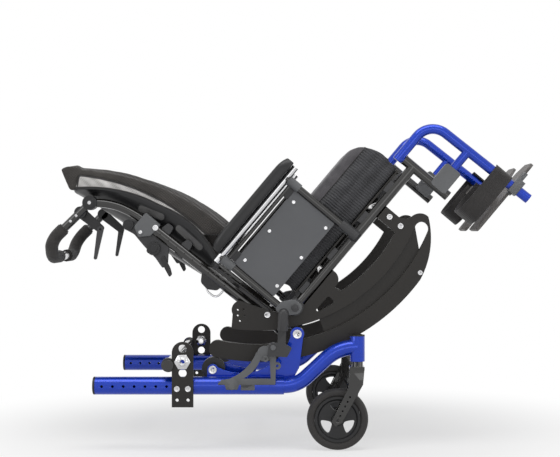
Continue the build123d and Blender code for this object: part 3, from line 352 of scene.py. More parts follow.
# %% [markdown]
# ## Painted and moulded finishes
# The blue is a candy powder coat under a clear coat: deep, smooth and very glossy. The black is a
# satin powder coat with a slight orange peel. The grey castings are rougher, and mouldings have a
# fine even grain. Each line gives the colour, the colour where it is worn, the roughness, and the
# grain's strength, size in millimetres and mottling.

# %% Hard finishes
BLUE = hard_finish(
    "candy blue", (0.0, 0.038, 0.46), (0.02, 0.12, 0.62), 0.24, 0.05, 1.6, 0.10,
    Metallic=0.45, Coat_Weight=0.6, Coat_Roughness=0.04, Specular_IOR_Level=0.25,
)
BLACK = hard_finish(
    "black powder coat", (0.013, 0.011, 0.009), (0.08, 0.072, 0.066), 0.40, 0.20, 0.7, 0.15,
    Specular_IOR_Level=0.35,
)
BLACK_GLOSS = hard_finish(
    "glossy black tube", (0.007, 0.006, 0.005), (0.08, 0.072, 0.066), 0.22, 0.04, 1.2, 0.12,
    Coat_Weight=0.9, Coat_Roughness=0.03, Specular_IOR_Level=0.3,
)
CAST = hard_finish(
    "grey casting", (0.115, 0.118, 0.122), (0.30, 0.30, 0.31), 0.46, 0.35, 0.9, 0.14, Metallic=0.25,
)
CAST_DARK = hard_finish(
    "dark casting", (0.038, 0.038, 0.040), (0.16, 0.16, 0.165), 0.44, 0.35, 0.9, 0.15, Metallic=0.2,
)
PANEL = hard_finish(
    "grey moulded sheet", (0.105, 0.108, 0.114), (0.22, 0.22, 0.23), 0.50, 0.30, 0.5, 0.06,
)
PLASTIC = hard_finish(
    "black moulding", (0.013, 0.013, 0.014), (0.07, 0.07, 0.07), 0.38, 0.25, 0.45, 0.12,
    Specular_IOR_Level=0.4,
)
PLATE_PLASTIC = hard_finish(
    "warm grey grained moulding", (0.135, 0.125, 0.118), (0.22, 0.21, 0.20), 0.55, 0.45, 0.8, 0.10,
)
RUBBER = hard_finish(
    "tyre rubber", (0.026, 0.024, 0.023), (0.07, 0.065, 0.06), 0.72, 0.45, 0.6, 0.22,
)
STEEL = hard_finish(
    "bright steel", (0.62, 0.62, 0.63), (0.85, 0.85, 0.86), 0.20, 0.10, 0.5, 0.10, Metallic=1.0,
)
print("materials so far", len(bpy.data.materials))

# %% [markdown]
# ## Soft finishes
# The seat's cover is a stretch mesh with fine ribs, the back's a spacer mesh with open cells, the
# grips are closed-cell foam and the straps a plain weave. A cloth's last values are the two
# periods of its weave and the height of its bump, in metres.

# %% Soft finishes
WAVE_PERIOD = 0.314  # from band to band of a wave texture at a Scale of 1, in metres


def foam_finish(name, colour):
    """Closed-cell foam: many small pits in a dull, dark skin."""
    material, shader = new_material(name, Roughness=0.85, Sheen_Weight=0.15)
    tree = material.node_tree
    place = object_place(tree)
    cells = add_node(tree, "TexVoronoi", {"Vector": place, "Scale": 1100.0})["Distance"]
    cloud = noise(tree, place, 40.0, 4.0)
    feed(shader, {
        "Base Color": mottle(tree, cloud, 0.3, 0.75, colour, 0.7, 1.4),
        "Normal": add_bump(tree, cells, 0.5, 0.0004),
    })
    return material


def woven_finish(name, colour, along, aside, depth, sheen=0.3):
    """Knitted or woven cloth: two fine wave patterns that cross in the seat's own directions."""
    material, shader = new_material(name, Roughness=0.8, Sheen_Weight=sheen, Sheen_Roughness=0.4)
    tree = material.node_tree
    place = object_place(tree, turn=(0, TILT, 0))
    waves = {}
    for number, (way, period) in enumerate((("X", along), ("Z", aside))):
        inputs = {"Vector": place, "Scale": WAVE_PERIOD / period}
        waves[number] = add_node(tree, "TexWave", inputs, bands_direction=way)["Fac"]
    height = add_node(tree, "Math", waves, operation="ADD")["Value"]
    cloud = noise(tree, place, 22.0, 5.0, 0.6)
    cloth = {
        MIX_FACTOR: 1.0,
        MIX_A: mottle(tree, cloud, 0.32, 0.72, colour, 0.72, 1.3),
        MIX_B: ramp(tree, height, 0.25, 1.0, (0.55, 0.55, 0.55), (1, 1, 1)),
    }
    feed(shader, {
        "Base Color": add_node(tree, "Mix", cloth, data_type="RGBA", blend_type="MULTIPLY")[MIX_RESULT],
        "Normal": add_bump(tree, height, 0.6, depth),
    })
    return material


FOAM = foam_finish("foam grip", (0.034, 0.031, 0.029))
RIB_MESH = woven_finish("ribbed side mesh", (0.050, 0.050, 0.054), 0.0068, 0.0300, 0.0022)
TOP_CLOTH = woven_finish("stretch top cloth", (0.085, 0.079, 0.086), 0.0014, 0.0014, 0.0002, 0.5)
CELL_MESH = woven_finish("spacer mesh", (0.046, 0.041, 0.037), 0.0050, 0.0050, 0.0012)
BAND_CLOTH = woven_finish("pale band cloth", (0.62, 0.60, 0.58), 0.0200, 0.0048, 0.0004)
PAD_GREY = woven_finish("grey pad cloth", (0.13, 0.128, 0.126), 0.0030, 0.0030, 0.0004)
PIPING = woven_finish("piping cord", (0.030, 0.028, 0.028), 0.0011, 0.0011, 0.0002)
WEBBING = woven_finish("woven strap", (0.032, 0.029, 0.028), 0.0030, 0.0022, 0.0006)
print("materials with the soft ones", len(bpy.data.materials))

# %% [markdown]
# ## First coat on every solid
# A solid that keeps its own shape gets the finish of the real part, on a merged copy that can be
# shaded smooth. The solids listed as remade are hidden by the pieces made below, which bring
# their own finishes.

# %% Finishes on the solids
FINISHES = {
    "frame_blue": BLUE, "frame_black": BLACK, "casting_grey": CAST, "casting_dark": CAST_DARK,
    "bright_steel": STEEL, "roller": PLASTIC, "tyre": RUBBER, "hub": PLASTIC, "cap": PLASTIC,
    "panel_grey": PANEL, "arm_pad": PLASTIC, "cushion": FOAM, "back_mesh": FOAM,
    "shell": PLASTIC, "foam_grip": FOAM, "footplate": PLATE_PLASTIC, "webbing": FOAM, "pan": BLACK,
}
GLOSSY = (
    "seat_frame", "legrest_posts", "base_cross_tube", "rear_cross_tube", "caster_fork_left",
    "caster_fork_right",
)
CURVED_PLATES = ("rocker_left", "rocker_right", "roller_bracket_left", "roller_bracket_right")
REMADE = [
    "seat_cushion", "back_cushion", "back_shell", "back_canes", "back_castings", "back_hardware",
    "push_bar", "push_grips", "push_castings",
]
for part in ("arm_frame", "arm_pad", "side_panel", "heel_strap", "caster_hub"):
    REMADE += [f"{part}_{side}" for side, _ in SIDES]
slot_of = {row["node"]: row["material_slot"] for row in frame["record"]["subparts"]}
for name, node in nodes.items():
    finish = BLACK_GLOSS if name in GLOSSY else FINISHES[slot_of[name]]
    node.data.materials.clear()
    node.data.materials.append(finish)
    if name in REMADE:
        continue
    skin = from_solid(name, f"{name}_skin")
    if name in CURVED_PLATES:
        smooth(skin, 12, weighted=False)
    else:
        smooth(skin, 32)
    dress(skin, finish, node["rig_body"], slot_of[name], name)
print("solids finished", len(nodes) - len(REMADE))

# %% [markdown]
# ## Stuffing a cover
# Foam in a sewn cover swells between its seams. The cover's plain form is remeshed into even
# cells and blown up as cloth for twenty frames with no gravity. How far a point may move is
# limited, and less where the foam rests on something hard, so the cushion stays clear of its
# neighbours.

# %% Cloth under pressure
LAST_FRAME = 20


def puff(piece, cell, pressure, limit, freedom):
    """Round a soft piece by cloth under pressure, each point up to its share of a limit."""
    piece.data.remesh_voxel_size = cell
    select_only(piece)
    bpy.ops.object.voxel_remesh()
    starts = [vertex.co.copy() for vertex in piece.data.vertices]
    normals = [vertex.normal.copy() for vertex in piece.data.vertices]
    cloth = add_modifier(piece, "CLOTH")
    cloth.settings.quality = 4
    cloth.settings.use_pressure = True
    cloth.settings.uniform_pressure_force = pressure
    cloth.settings.effector_weights.gravity = 0
    cloth.point_cache.frame_end = LAST_FRAME
    for number in range(1, LAST_FRAME + 1):
        scene.frame_set(number)
    apply_modifiers(piece)
    scene.frame_set(1)
    furthest = 0
    for vertex, start, normal in zip(piece.data.vertices, starts, normals):
        room = limit * freedom(TO_SEAT @ start * 1000, TO_SEAT.to_3x3() @ normal)
        move = vertex.co - start
        if move.length > room:
            vertex.co = start + move.normalized() * room
        furthest = max(furthest, (vertex.co - start).length)
    select_only(piece)
    bpy.ops.object.shade_smooth()
    print(piece.name, "cells", len(starts), "moved up to", round(furthest * 1000, 1), "mm")


def relax(piece):
    """Even out the cells of a soft piece."""
    edit(piece)
    bpy.ops.mesh.vertices_smooth(factor=0.5, repeat=3)
    leave_edit()


# %% [markdown]
# ## The seat cushion
# The cushion has a smooth stretch top whose edge slopes down to a ribbed side mesh. The seam
# between them runs lower across the rear. The cushion lies on the seat pan, so its underside
# stays flat.

# %% Seat cushion
CUSHION_SEAM = -186.0  # the seam's height in the seat's frame
REAR_SEAM_DROP = 60.0
SEAM_REACH = 150.0
UNDERSIDE = -274.0
seat_cover = from_solid("seat_cushion", "seat_cover")
edit(seat_cover)
bpy.ops.transform.shrink_fatten(value=-0.003)
leave_edit()


def seat_freedom(place, normal):
    """Full swelling on top, less at the sides and none on the pan."""
    if normal.z < -0.4 or place.z < UNDERSIDE:
        return 0.0
    return 1.0 if normal.z > 0.5 else 0.45


puff(seat_cover, 0.006, 4.0, 0.014, seat_freedom)
relax(seat_cover)
refine(seat_cover)
seat_cover.data.materials.clear()
for material in (TOP_CLOTH, RIB_MESH):
    seat_cover.data.materials.append(material)
for face in seat_cover.data.polygons:
    place = TO_SEAT @ face.center * 1000
    outside = abs(place.y) > SEAM_REACH or place.x > SEAM_REACH
    seam_height = CUSHION_SEAM if outside else CUSHION_SEAM - REAR_SEAM_DROP
    face.material_index = 0 if place.z > seam_height else 1
hand_over(seat_cover, "seat", "cushion", "seat_cushion")

# %% [markdown]
# ## Piping
# A sewn seam is covered by a thin cord. The edges where the cover's two materials meet are
# copied, smoothed into an even line and turned into a tube by way of a curve.

# %% Seat piping
def edges_to_tube(piece, radius, resolution, caps=False):
    """Turn a piece made of bare edges into a round tube, by way of a curve."""
    select_only(piece)
    bpy.ops.object.convert(target="CURVE")
    piece.data.bevel_depth = radius
    piece.data.bevel_resolution = resolution
    piece.data.use_fill_caps = caps
    bpy.ops.object.convert(target="MESH")


def seam_between(piece, name, radius):
    """A piping cord along every edge where two materials of a cover meet."""
    mesh = bmesh.new()
    mesh.from_mesh(piece.data)
    plain = [edge for edge in mesh.edges if len({face.material_index for face in edge.link_faces}) < 2]
    bmesh.ops.delete(mesh, geom=plain, context="EDGES")
    loose = [vertex for vertex in mesh.verts if not vertex.link_edges]
    bmesh.ops.delete(mesh, geom=loose, context="VERTS")
    for _ in range(12):
        bmesh.ops.smooth_vert(
            mesh, verts=mesh.verts, factor=0.5, use_axis_x=True, use_axis_y=True, use_axis_z=True,
        )
    seam = new_object(name, bpy.data.meshes.new(name))
    mesh.to_mesh(seam.data)
    mesh.free()
    edges_to_tube(seam, radius, 2)
    bpy.ops.object.shade_smooth()
    print(name, "faces", len(seam.data.polygons))
    return seam


dress(seam_between(seat_cover, "seat_piping", 0.0016), PIPING, "seat", "cushion")

# %% [markdown]
# ## Drawing in side view
# The chair is seen from its side, so most pieces are drawn as a side-view outline of (u, w)
# points. A plate is extruded from one width to another. A sculpted piece has an outline at each
# of several stations across the chair, extruded from one to the next.

# %% Outlines and sections
CORNER_STEPS = 4


def rounded(corners, radius):
    """A side-view outline with its corners rounded."""
    outline = []
    for number, corner in enumerate(corners):
        here = Vector(corner)
        back = Vector(corners[number - 1]) - here
        ahead = Vector(corners[(number + 1) % len(corners)]) - here
        reach = min(radius, back.length * 0.45, ahead.length * 0.45)
        start, end = here + back.normalized() * reach, here + ahead.normalized() * reach
        for step in range(CORNER_STEPS + 1):
            share = step / CORNER_STEPS
            outline.append(tuple(start.lerp(here, share).lerp(here.lerp(end, share), share)))
    return outline


def ring_of(place, reaches):
    """A ring of side-view points round a place, one for each reach."""
    step = 2 * pi / len(reaches)
    return [(place[0] + r * cos(step * n), place[1] + r * sin(step * n)) for n, r in enumerate(reaches)]


def arc_through(first, middle, last, count):
    """Points on the arc through three side-view points."""
    (ax, ay), (bx, by), (cx, cy) = first, middle, last
    twice = 2 * (ax * (by - cy) + bx * (cy - ay) + cx * (ay - by))
    a2, b2, c2 = ax * ax + ay * ay, bx * bx + by * by, cx * cx + cy * cy
    centre = Vector((
        (a2 * (by - cy) + b2 * (cy - ay) + c2 * (ay - by)) / twice,
        (a2 * (cx - bx) + b2 * (ax - cx) + c2 * (bx - ax)) / twice,
    ))
    start = atan2(ay - centre.y, ax - centre.x)
    turn = atan2(cy - centre.y, cx - centre.x) - start
    turn = (turn + pi) % (2 * pi) - pi
    size = (Vector(first) - centre).length
    return [
        (centre.x + size * cos(start + turn * n / count), centre.y + size * sin(start + turn * n / count))
        for n in range(count + 1)
    ]


def flat_piece(name, outline, y):
    """A single face cut to a side-view outline at a width."""
    return mesh_piece(name, [(u, y, w) for u, w in outline], faces=[list(range(len(outline)))])


def extrude(piece, offset):
    """Pull a flat piece along an offset into a closed solid."""
    edit(piece)
    bpy.ops.mesh.extrude_region_move(TRANSFORM_OT_translate={"value": offset})
    leave_edit()
    tidy_normals(piece)


def across(name, section, stations):
    """A solid drawn across the chair: one side-view section, extruded from station to station."""
    piece = flat_piece(name, section(stations[0]), stations[0])
    edit(piece)
    for station in stations[1:]:
        bpy.ops.mesh.extrude_region_move()
        bpy.ops.object.mode_set(mode="OBJECT")
        fresh = sorted((v for v in piece.data.vertices if v.select), key=lambda v: v.index)
        for vertex, (u, w) in zip(fresh, section(station)):
            vertex.co = Vector((u, station, w)) / 1000
        bpy.ops.object.mode_set(mode="EDIT")
    leave_edit()
    tidy_normals(piece)
    return piece


# %% [markdown]
# ## The moulded shell
# The back is a moulded bucket: flat in the middle, with sides that sweep forwards. Its side view
# runs from the middle's line to the edge's line, and the sweep says how far at each width.

# %% Shell
BACK_HALF = 212.0
SHELL_EDGE = ((-352, 310), (-286, 222), (-248, 116), (-234, 10), (-255, -72))
SHELL_MIDDLE = ((-364, 313), (-355, 240), (-345, 163), (-333, 36), (-316, -88))
SHELL_WALL = 5.0
SWEEP = ((0, 0), (0.2, 0), (0.42, 0.01), (0.62, 0.09), (0.78, 0.34), (0.9, 0.68), (0.96, 0.86), (1, 1))
EXTRA_STATIONS = (150.0, 180.0)
LINE_STEPS = 8


def sweep_at(y):
    """How near the side's line the shell is at a width."""
    share = abs(y) / BACK_HALF
    for (low, start), (high, end) in zip(SWEEP, SWEEP[1:]):
        if share <= high + 1e-6:
            return start + (end - start) * (share - low) / (high - low)
    return 1.0


def shell_line(y):
    """The front line of the shell in side view at a width, from the head down."""
    near_side = sweep_at(y)
    line = [
        (m[0] + (e[0] - m[0]) * near_side, m[1] + (e[1] - m[1]) * near_side)
        for e, m in zip(SHELL_EDGE, SHELL_MIDDLE)
    ]
    return arc_through(*line[:3], LINE_STEPS) + arc_through(*line[2:], LINE_STEPS)[1:]


def shell_section(y):
    """The shell's wall in side view at a width."""
    front = shell_line(y)
    return front + [(u - SHELL_WALL, w) for u, w in reversed(front)]


def both_ways(stations):
    """Stations on both sides of the middle, from those on one side."""
    return [-y for y in reversed(stations[1:])] + stations


half = sorted({round(share * BACK_HALF, 1) for share, _ in SWEEP} | set(EXTRA_STATIONS))
bucket = across("shell_bucket", shell_section, both_ways(half))
bevel_edges(bucket, 1.2, 50)
to_seat(bucket)
smooth(bucket, 50)
dress(bucket, PLASTIC, "back", "shell", "back_shell")
print("shell faces", len(bucket.data.polygons))

# %% [markdown]
# ## The back cushion
# The back cushion is a deep contoured pad in open spacer mesh with a gusset at its head. Its rear
# rests in the shell, so only its face and sides swell. Near its edges it ends at a line on which
# a pale stretch band starts.

# %% Back cushion
CUSHION_FACE = ((-338, 371), (-316, 362), (-304, 333), (-212, 172), (-177, -34))
CUSHION_DIP = 30.0  # how much deeper the face is in its middle
DIP_SHARES = (0.3, 0.6, 0.8, 1, 1)
CUSHION_HEEL = (-6.0, -38.0)
HEAD_CORNER = (-353, 305)
SHOULDER = (SHELL_MIDDLE[0][0] - 2, SHELL_MIDDLE[0][1] + 4)
BAND_EDGE = ((-320, 323), (-251, 181), (-229, -20))
BAND_STEPS = 15
BAND_INNER = 190.0
GAP = 1.2


def cushion_section(y):
    """The cushion in side view at a width, from its face back to the shell or the band."""
    dip = CUSHION_DIP * (1 - (abs(y) / BACK_HALF) ** 2)
    line = [(u - dip * part, w) for (u, w), part in zip(CUSHION_FACE, DIP_SHARES)]
    face = arc_through(*line[:3], 4) + arc_through(*line[2:], 12)[1:]
    heel = (face[-1][0] + CUSHION_HEEL[0], face[-1][1] + CUSHION_HEEL[1])
    if abs(y) <= BAND_INNER:
        rear = [(u + GAP, w) for u, w in reversed(shell_line(y))]
    else:
        rear = arc_through(*BAND_EDGE, BAND_STEPS)[::-1] + [HEAD_CORNER]
    return face + [heel] + rear + [SHOULDER]


def back_freedom(place, normal):
    """Full swelling on the face, less at the sides and none against the shell."""
    if normal.x < -0.1:
        return 0.0
    return 1.0 if normal.x > 0.4 else 0.3


back_half = [y for y in half if y < BAND_INNER] + [BAND_INNER, BAND_INNER + 1, BACK_HALF - 2]
back_cover = across("back_cover", cushion_section, both_ways(back_half))
to_seat(back_cover)
puff(back_cover, 0.006, 4.0, 0.008, back_freedom)
relax(back_cover)
refine(back_cover)
dress(back_cover, CELL_MESH, "back", "back_mesh", "back_cushion")

# %% [markdown]
# ## The pale bands
# A pale stretch band fills the gap at each side between the cushion and the shell. It is a plate
# cut to that gap, a little puffed.

# %% Pale bands
BAND_OUTER = BACK_HALF - 1.5
BAND_WIDTH = 0.016
BAND_FOOT = -14


def band_section():
    """The band in side view, between the cushion's edge and the shell's."""
    edge = [(u - GAP, w) for u, w in arc_through(*BAND_EDGE, BAND_STEPS)]
    low = [(u + 0.5, w) for u, w in reversed(shell_line(BAND_OUTER)) if w > BAND_FOOT]
    return edge + low


bands = []
for _, sign in SIDES:
    band = flat_piece("band", band_section(), sign * BAND_OUTER)
    extrude(band, (0, -sign * BAND_WIDTH, 0))
    to_seat(band)
    bands.append(band)
band = merge("back_band", *bands)
puff(band, 0.004, 2.0, 0.004, lambda place, normal: 1.0 if abs(normal.y) > 0.6 else 0.2)
refine(band)
dress(band, BAND_CLOTH, "back", "back_mesh")

# %% [markdown]
# ## Tubes and cords
# A tube is a line of points that the Bevel operator rounds at its corners and a curve's bevel
# makes thick. The first ones are the dark cords along the bands' edges and down the gusset's end.

# %% Tubes and the band's cords
def bent_tube(name, points, radius, bend=0.0, steps=8):
    """A round tube through points in the seat's frame, with an arc at each corner."""
    last = len(points) - 1
    path = mesh_piece(name, points, edges=[(n, n + 1) for n in range(last)])
    if bend:
        pick(path, "VERT", lambda vertex: 0 < vertex.index < last)
        bpy.ops.mesh.bevel(offset=bend / 1000, segments=steps, affect="VERTICES", clamp_overlap=True)
        leave_edit()
    edges_to_tube(path, radius / 1000, 6, caps=True)
    tidy_normals(path)
    to_seat(path)
    smooth(path, 40)
    return path


def side_tube(name, line, y, radius, bend=0.0, steps=8):
    """A tube that keeps to one width along a side-view line."""
    return bent_tube(name, [(u, y, w) for u, w in line], radius, bend, steps)


def tube_pair(name, rows, width, steps=8):
    """Tubes on both sides of the chair. A row is a side-view line, a radius and a bend."""
    return merge(name, *[
        side_tube(name, line, sign * width, radius, bend, steps)
        for _, sign in SIDES for line, radius, bend in rows
    ])


CORDS = (
    (arc_through(*BAND_EDGE, 8), 1.7, 6),
    ([(u + 1.5, w) for u, w in shell_line(BACK_HALF)], 2.2, 6),
    (((-321, 323), (-354, 304)), 1.7, 0),
)
dress(tube_pair("back_piping", CORDS, BACK_HALF - 2, steps=3), PIPING, "back", "back_mesh")
print("cords on each side", len(CORDS))

# %% [markdown]
# ## Canes, brackets and the plates behind the shell
# Each cane is a glossy tube that lets a thinner bent one slide in its top. A grey casting holds
# the joint. Under it a plate carries two ribbed knobs, and a bar ties the two plates together.

# %% Canes and castings
CANE_HALF = 196.0  # from the chair's middle to a cane
UPPER_RADIUS = 11.1
KNUCKLE = (-357.0, 259.0)
KNUCKLE_RADIUS = 18.5
LOWER_CANE = ((-292, -330), (-304, 106))
UPPER_CANE = ((-304, 100), (-304, 146), (-322, 215), (KNUCKLE[0] + 11.3, KNUCKLE[1] - 14.2))
CANES = ((LOWER_CANE, 14.3, 0), (UPPER_CANE, UPPER_RADIUS, 30))
CLAMP = rounded(((-284, 134), (-284, 84), (-322, 86), (-344, 108), (-331, 134)), 5)
WING = rounded(((-318, 140), (-330, 158), (-352, 150), (-346, 122), (-353, 84), (-358, 40), (-366, 12),
                (-354, 4), (-330, 22), (-312, 34), (-308, 84)), 5)
RELEASE = rounded(((-350, 30), (-338, 30), (-352, -4), (-362, -18), (-372, -17), (-364, 4)), 4)
HOOKS = (-12, 52)
KNOBS = (((-337.0, 148.0), 13.0), ((-342.0, 60.0), 16.0))  # place and radius
KNOB_RIBS, RIB_HEIGHT = 22, 1.6


def disc(place, radius, points=40):
    """A round side-view outline."""
    return ring_of(place, [radius] * points)


def side_plate(name, outline, near, far, edge):
    """A plate cut to a side-view outline between two widths, with softened edges."""
    piece = flat_piece(name, outline, near)
    extrude(piece, (0, (far - near) / 1000, 0))
    bevel_edges(piece, edge, 30)
    to_seat(piece)
    smooth(piece, 35)
    return piece


def plate_pair(name, rows):
    """Plates by both canes. A row is an outline, two widths from the cane and an edge."""
    return merge(name, *[
        side_plate(name, outline, sign * (CANE_HALF + inner), sign * (CANE_HALF + outer), edge)
        for _, sign in SIDES for outline, inner, outer, edge in rows
    ])


castings = ((CLAMP, -17, 17, 2.5), (disc(KNUCKLE, KNUCKLE_RADIUS), -19, -0.5, 1.5))
plates, knobs = [(WING, -4, 5, 1.2)], []
for w in HOOKS:
    hook = ((-318, w), (-284, w), (-268, w + 4), (-268, w + 22), (-284, w + 26), (-318, w + 26))
    plates.append((rounded(hook, 4), -18, 6, 1.5))
for place, size in KNOBS:
    knobs.append((ring_of(place, [size, size + RIB_HEIGHT] * KNOB_RIBS), 5, 15, 0.6))
    knobs.append((disc(place, size * 0.62), 15, 17, 0.6))
knobs.append((RELEASE, 5, 9, 1.0))
bolts = ((disc((-298, 90), 7.5), 17, 19, 0.8), (disc((-331, 112), 5.0), 5, 20, 1.2))
dress(tube_pair("cane_tubes", CANES, CANE_HALF), BLACK_GLOSS, "back", "frame_black", "back_canes")
dress(plate_pair("cane_clamps", castings), CAST, "back", "casting_dark", "back_castings")
dress(plate_pair("side_wings", plates), CAST_DARK, "back", "casting_dark", "back_hardware")
dress(plate_pair("back_knobs", knobs), PLASTIC, "back", "casting_dark")
dress(plate_pair("back_bolts", bolts), STEEL, "back", "bright_steel")
bar = bent_tube("bar", [(-353, CANE_HALF - 3, 66), (-353, 3 - CANE_HALF, 66)], 8)
dress(bar, BLACK, "back", "frame_black")
print("plates on each side", len(plates), "knob parts", len(knobs))

# %% [markdown]
# ## Recesses in the shell's flanks
# Each flank has two long oval recesses, one above the other, with a grey pad in each. A flat oval
# is drawn beside the chair and the Shrinkwrap modifier lays it on the shell's curved flank.

# %% Oval recesses
RECESSES = (((-285, 150), (-268, 98)), ((-262, 44), (-264, -26)))
END_POINTS = 12  # points round each end of an oval
OVAL_RINGS = 4  # rings of faces that let a flat oval bend
BESIDE = 240.0  # a width outside the shell


def oval_on_shell(name, start, end, width, sign, lift, thickness):
    """A long oval between two side-view points, laid on the shell's flank."""
    start, end = Vector(start), Vector(end)
    ahead = (end - start).normalized()
    aside = Vector((-ahead.y, ahead.x))
    outline = []
    for middle, way in ((end, 1), (start, -1)):
        for number in range(END_POINTS):
            angle = pi * number / (END_POINTS - 1) - pi / 2
            outline.append(tuple(middle + way * (ahead * cos(angle) + aside * sin(angle)) * width / 2))
    oval = flat_piece(name, outline, sign * BESIDE)
    pick(oval, "FACE", lambda face: True)
    for _ in range(OVAL_RINGS):
        bpy.ops.mesh.inset(thickness=width / 11000, depth=0)
    leave_edit()
    to_seat(oval)
    add_modifier(
        oval, "SHRINKWRAP", target=bucket, wrap_method="PROJECT", use_project_y=True, offset=lift / 1000,
        use_positive_direction=sign < 0, use_negative_direction=sign > 0,
    )
    apply_modifiers(oval)
    tidy_normals(oval)
    add_modifier(oval, "SOLIDIFY", thickness=thickness / 1000, offset=0.0)
    bevel_edges(oval, 0.6, 50)
    smooth(oval, 50)
    return oval


rims, pads = [], []
for _, sign in SIDES:
    for start, end in RECESSES:
        rims.append(oval_on_shell("rim", start, end, 23, sign, 0.6, 1.6))
        pads.append(oval_on_shell("pad", start, end, 17, sign, 1.6, 2.2))
dress(merge("shell_rims", *rims), PLASTIC, "back", "shell")
dress(merge("shell_pads", *pads), PAD_GREY, "back", "shell")
print("recesses", len(rims))

# %% [markdown]
# ## Small fittings on the canes
# Each cane has a clip with a bright half ring under it, and a row of small dark discs painted
# where its holes are, standing for the shade inside them.

# %% Clips, half rings and painted shade in the cane's holes
CLIP = rounded(((-306, -70), (-303, -134), (-320, -132), (-334, -110), (-331, -86)), 6)
HALF_RING = ((-322, -100), (-339, -108), (-337, -142), (-312, -144))
# Dark discs along the lower cane paint the shade inside its row of holes.
SHADED_HOLE_COUNT, TOP_SHADED_HOLE, SHADED_HOLE_PITCH = 9, 70, 26
(low_u, low_w), (top_u, top_w) = LOWER_CANE
hole_shade_discs = []
for number in range(SHADED_HOLE_COUNT):
    w = TOP_SHADED_HOLE - SHADED_HOLE_PITCH * number
    u = top_u + (low_u - top_u) * (top_w - w) / (top_w - low_w)
    hole_shade_discs.append((disc((u, w), 1.7, 16), 13.4, 14.9, 0.3))
dress(plate_pair("cane_clips", [(CLIP, -9, 9, 1.5)]), PLASTIC, "back", "casting_dark")
dress(tube_pair("half_rings", [(HALF_RING, 2.6, 12)], CANE_HALF), STEEL, "back", "bright_steel")
dress(plate_pair("cane_hole_shades", hole_shade_discs), BLACK, "back", "frame_black")
print("marks on each side", len(hole_shade_discs))

# %% [markdown]
# ## The push bar, its knuckles and grips
# The bar's legs are black and only the stretch between the grips is bright. Foam sleeves wrap
# both corners. Each knuckle is a black disc with a socket in its middle.

# %% Push bar
LEG_END = (-495.0, 273.0)
CORNER = (-531.0, 250.0)
CORNER_Y, GRIP_END_Y = 150.0, 52.0
GRIP_START, COLLAR_END = (-452, 268.7), (-448, 268.3)
GRIP_RADIUS, COLLAR_RADIUS = 16.6, 14.5
LEG = ((KNUCKLE[0] - 18.3, KNUCKLE[1] + 1.7), (LEG_END[0] + 30, LEG_END[1] - 3))
HANGER = rounded(((-406, 262), (-378, 262), (-382, 190), (-402, 190)), 8)
DISCS = (
    (disc(KNUCKLE, KNUCKLE_RADIUS), 0.5, 16, 1.6), (disc(KNUCKLE, 12.5), 16, 18, 0.8),
    (disc((-392, 262.5), 15.5), -13, 6, 1.5), (HANGER, -13, -6.4, 1.2),
)
LEG_SCREWS = [(disc(place, 3.4, 24), 10.6, 12.4, 0.6) for place in ((-404, 264), (-424, 266))]
SOCKETS = [(disc(KNUCKLE, 4.5), 17.6, 18.6, 0.5)]


def at_width(place, y):
    """A side-view place, at a width across the chair."""
    return place[0], y, place[1]


legs = tube_pair("push_legs", [(LEG, UPPER_RADIUS, 0)], CANE_HALF)
sleeves = []
for _, sign in SIDES:
    side = sign * CANE_HALF
    grip = [
        at_width(GRIP_START, side), at_width(LEG_END, side),
        at_width(CORNER, sign * CORNER_Y), at_width(CORNER, sign * GRIP_END_Y),
    ]
    sleeves.append(bent_tube("sleeve", grip, GRIP_RADIUS, bend=26))
    sleeves.append(bent_tube("collar", [grip[0], at_width(COLLAR_END, side)], COLLAR_RADIUS))
    inner_end = at_width(CORNER, sign * (GRIP_END_Y - 4))
    sleeves.append(bent_tube("collar", [grip[-1], inner_end], COLLAR_RADIUS))
grips = merge("grip_sleeves", *sleeves)
discs = plate_pair("knuckle_discs", DISCS)
crossing = bent_tube("crossing", [at_width(CORNER, 60), at_width(CORNER, -60)], UPPER_RADIUS)
dress(crossing, STEEL, "push_bar_unit", "bright_steel", "push_bar")
dress(legs, BLACK_GLOSS, "push_bar_unit", "frame_black")
dress(plate_pair("leg_screws", LEG_SCREWS), STEEL, "push_bar_unit", "bright_steel")
dress(grips, FOAM, "push_bar_unit", "foam_grip", "push_grips")
dress(discs, PLASTIC, "push_bar_unit", "casting_dark", "push_castings")
dress(plate_pair("knuckle_bolts", SOCKETS), STEEL, "push_bar_unit", "bright_steel")
print("push bar corner", CORNER)

# %% [markdown]
# ## Arm pads
# The pads are moulded urethane with a crowned top and ends that draw in. One section is worked
# out at each place along the arm, and faces join the points of neighbouring sections. The pads
# are made with their arms, in the next cell.

# %% Arm pads
PAD_STATIONS = (-241, -238, -230, -218, -200, -150, -95, -40, 10, 25, 38, 47, 51)
PAD_MIDDLE, PAD_HALF, PAD_TOP, PAD_LOW = 262.5, 25, -45.5, -75.4
PAD_NOSE = 34  # the length over which an end draws in


def pad_section(u, sign):
    """The pad's section at a place along the arm."""
    draw = max(0.0, 1 - min(u - PAD_STATIONS[0], PAD_STATIONS[-1] - u) / PAD_NOSE) ** 2
    wide, top = PAD_HALF - 11 * draw, PAD_TOP - 9 * draw
    one_side = [(wide - 2, PAD_LOW), (wide, PAD_LOW + 5), (wide, top - 9), (wide - 6, top - 1.5)]
    outline = [(-y, w) for y, w in one_side] + [(0, top)] + one_side[::-1]
    return [(u, sign * PAD_MIDDLE + y, w) for y, w in outline]


def lofted(name, rows):
    """A closed solid through rows of points."""
    wide = len(rows[0])
    faces = [list(range(wide))]
    for row in range(len(rows) - 1):
        for column in range(wide):
            here, beside = row * wide + column, row * wide + (column + 1) % wide
            faces.append((here, here + wide, beside + wide, beside))
    faces.append([(len(rows) - 1) * wide + column for column in reversed(range(wide))])
    return mesh_piece(name, [point for row in rows for point in row], faces=faces)


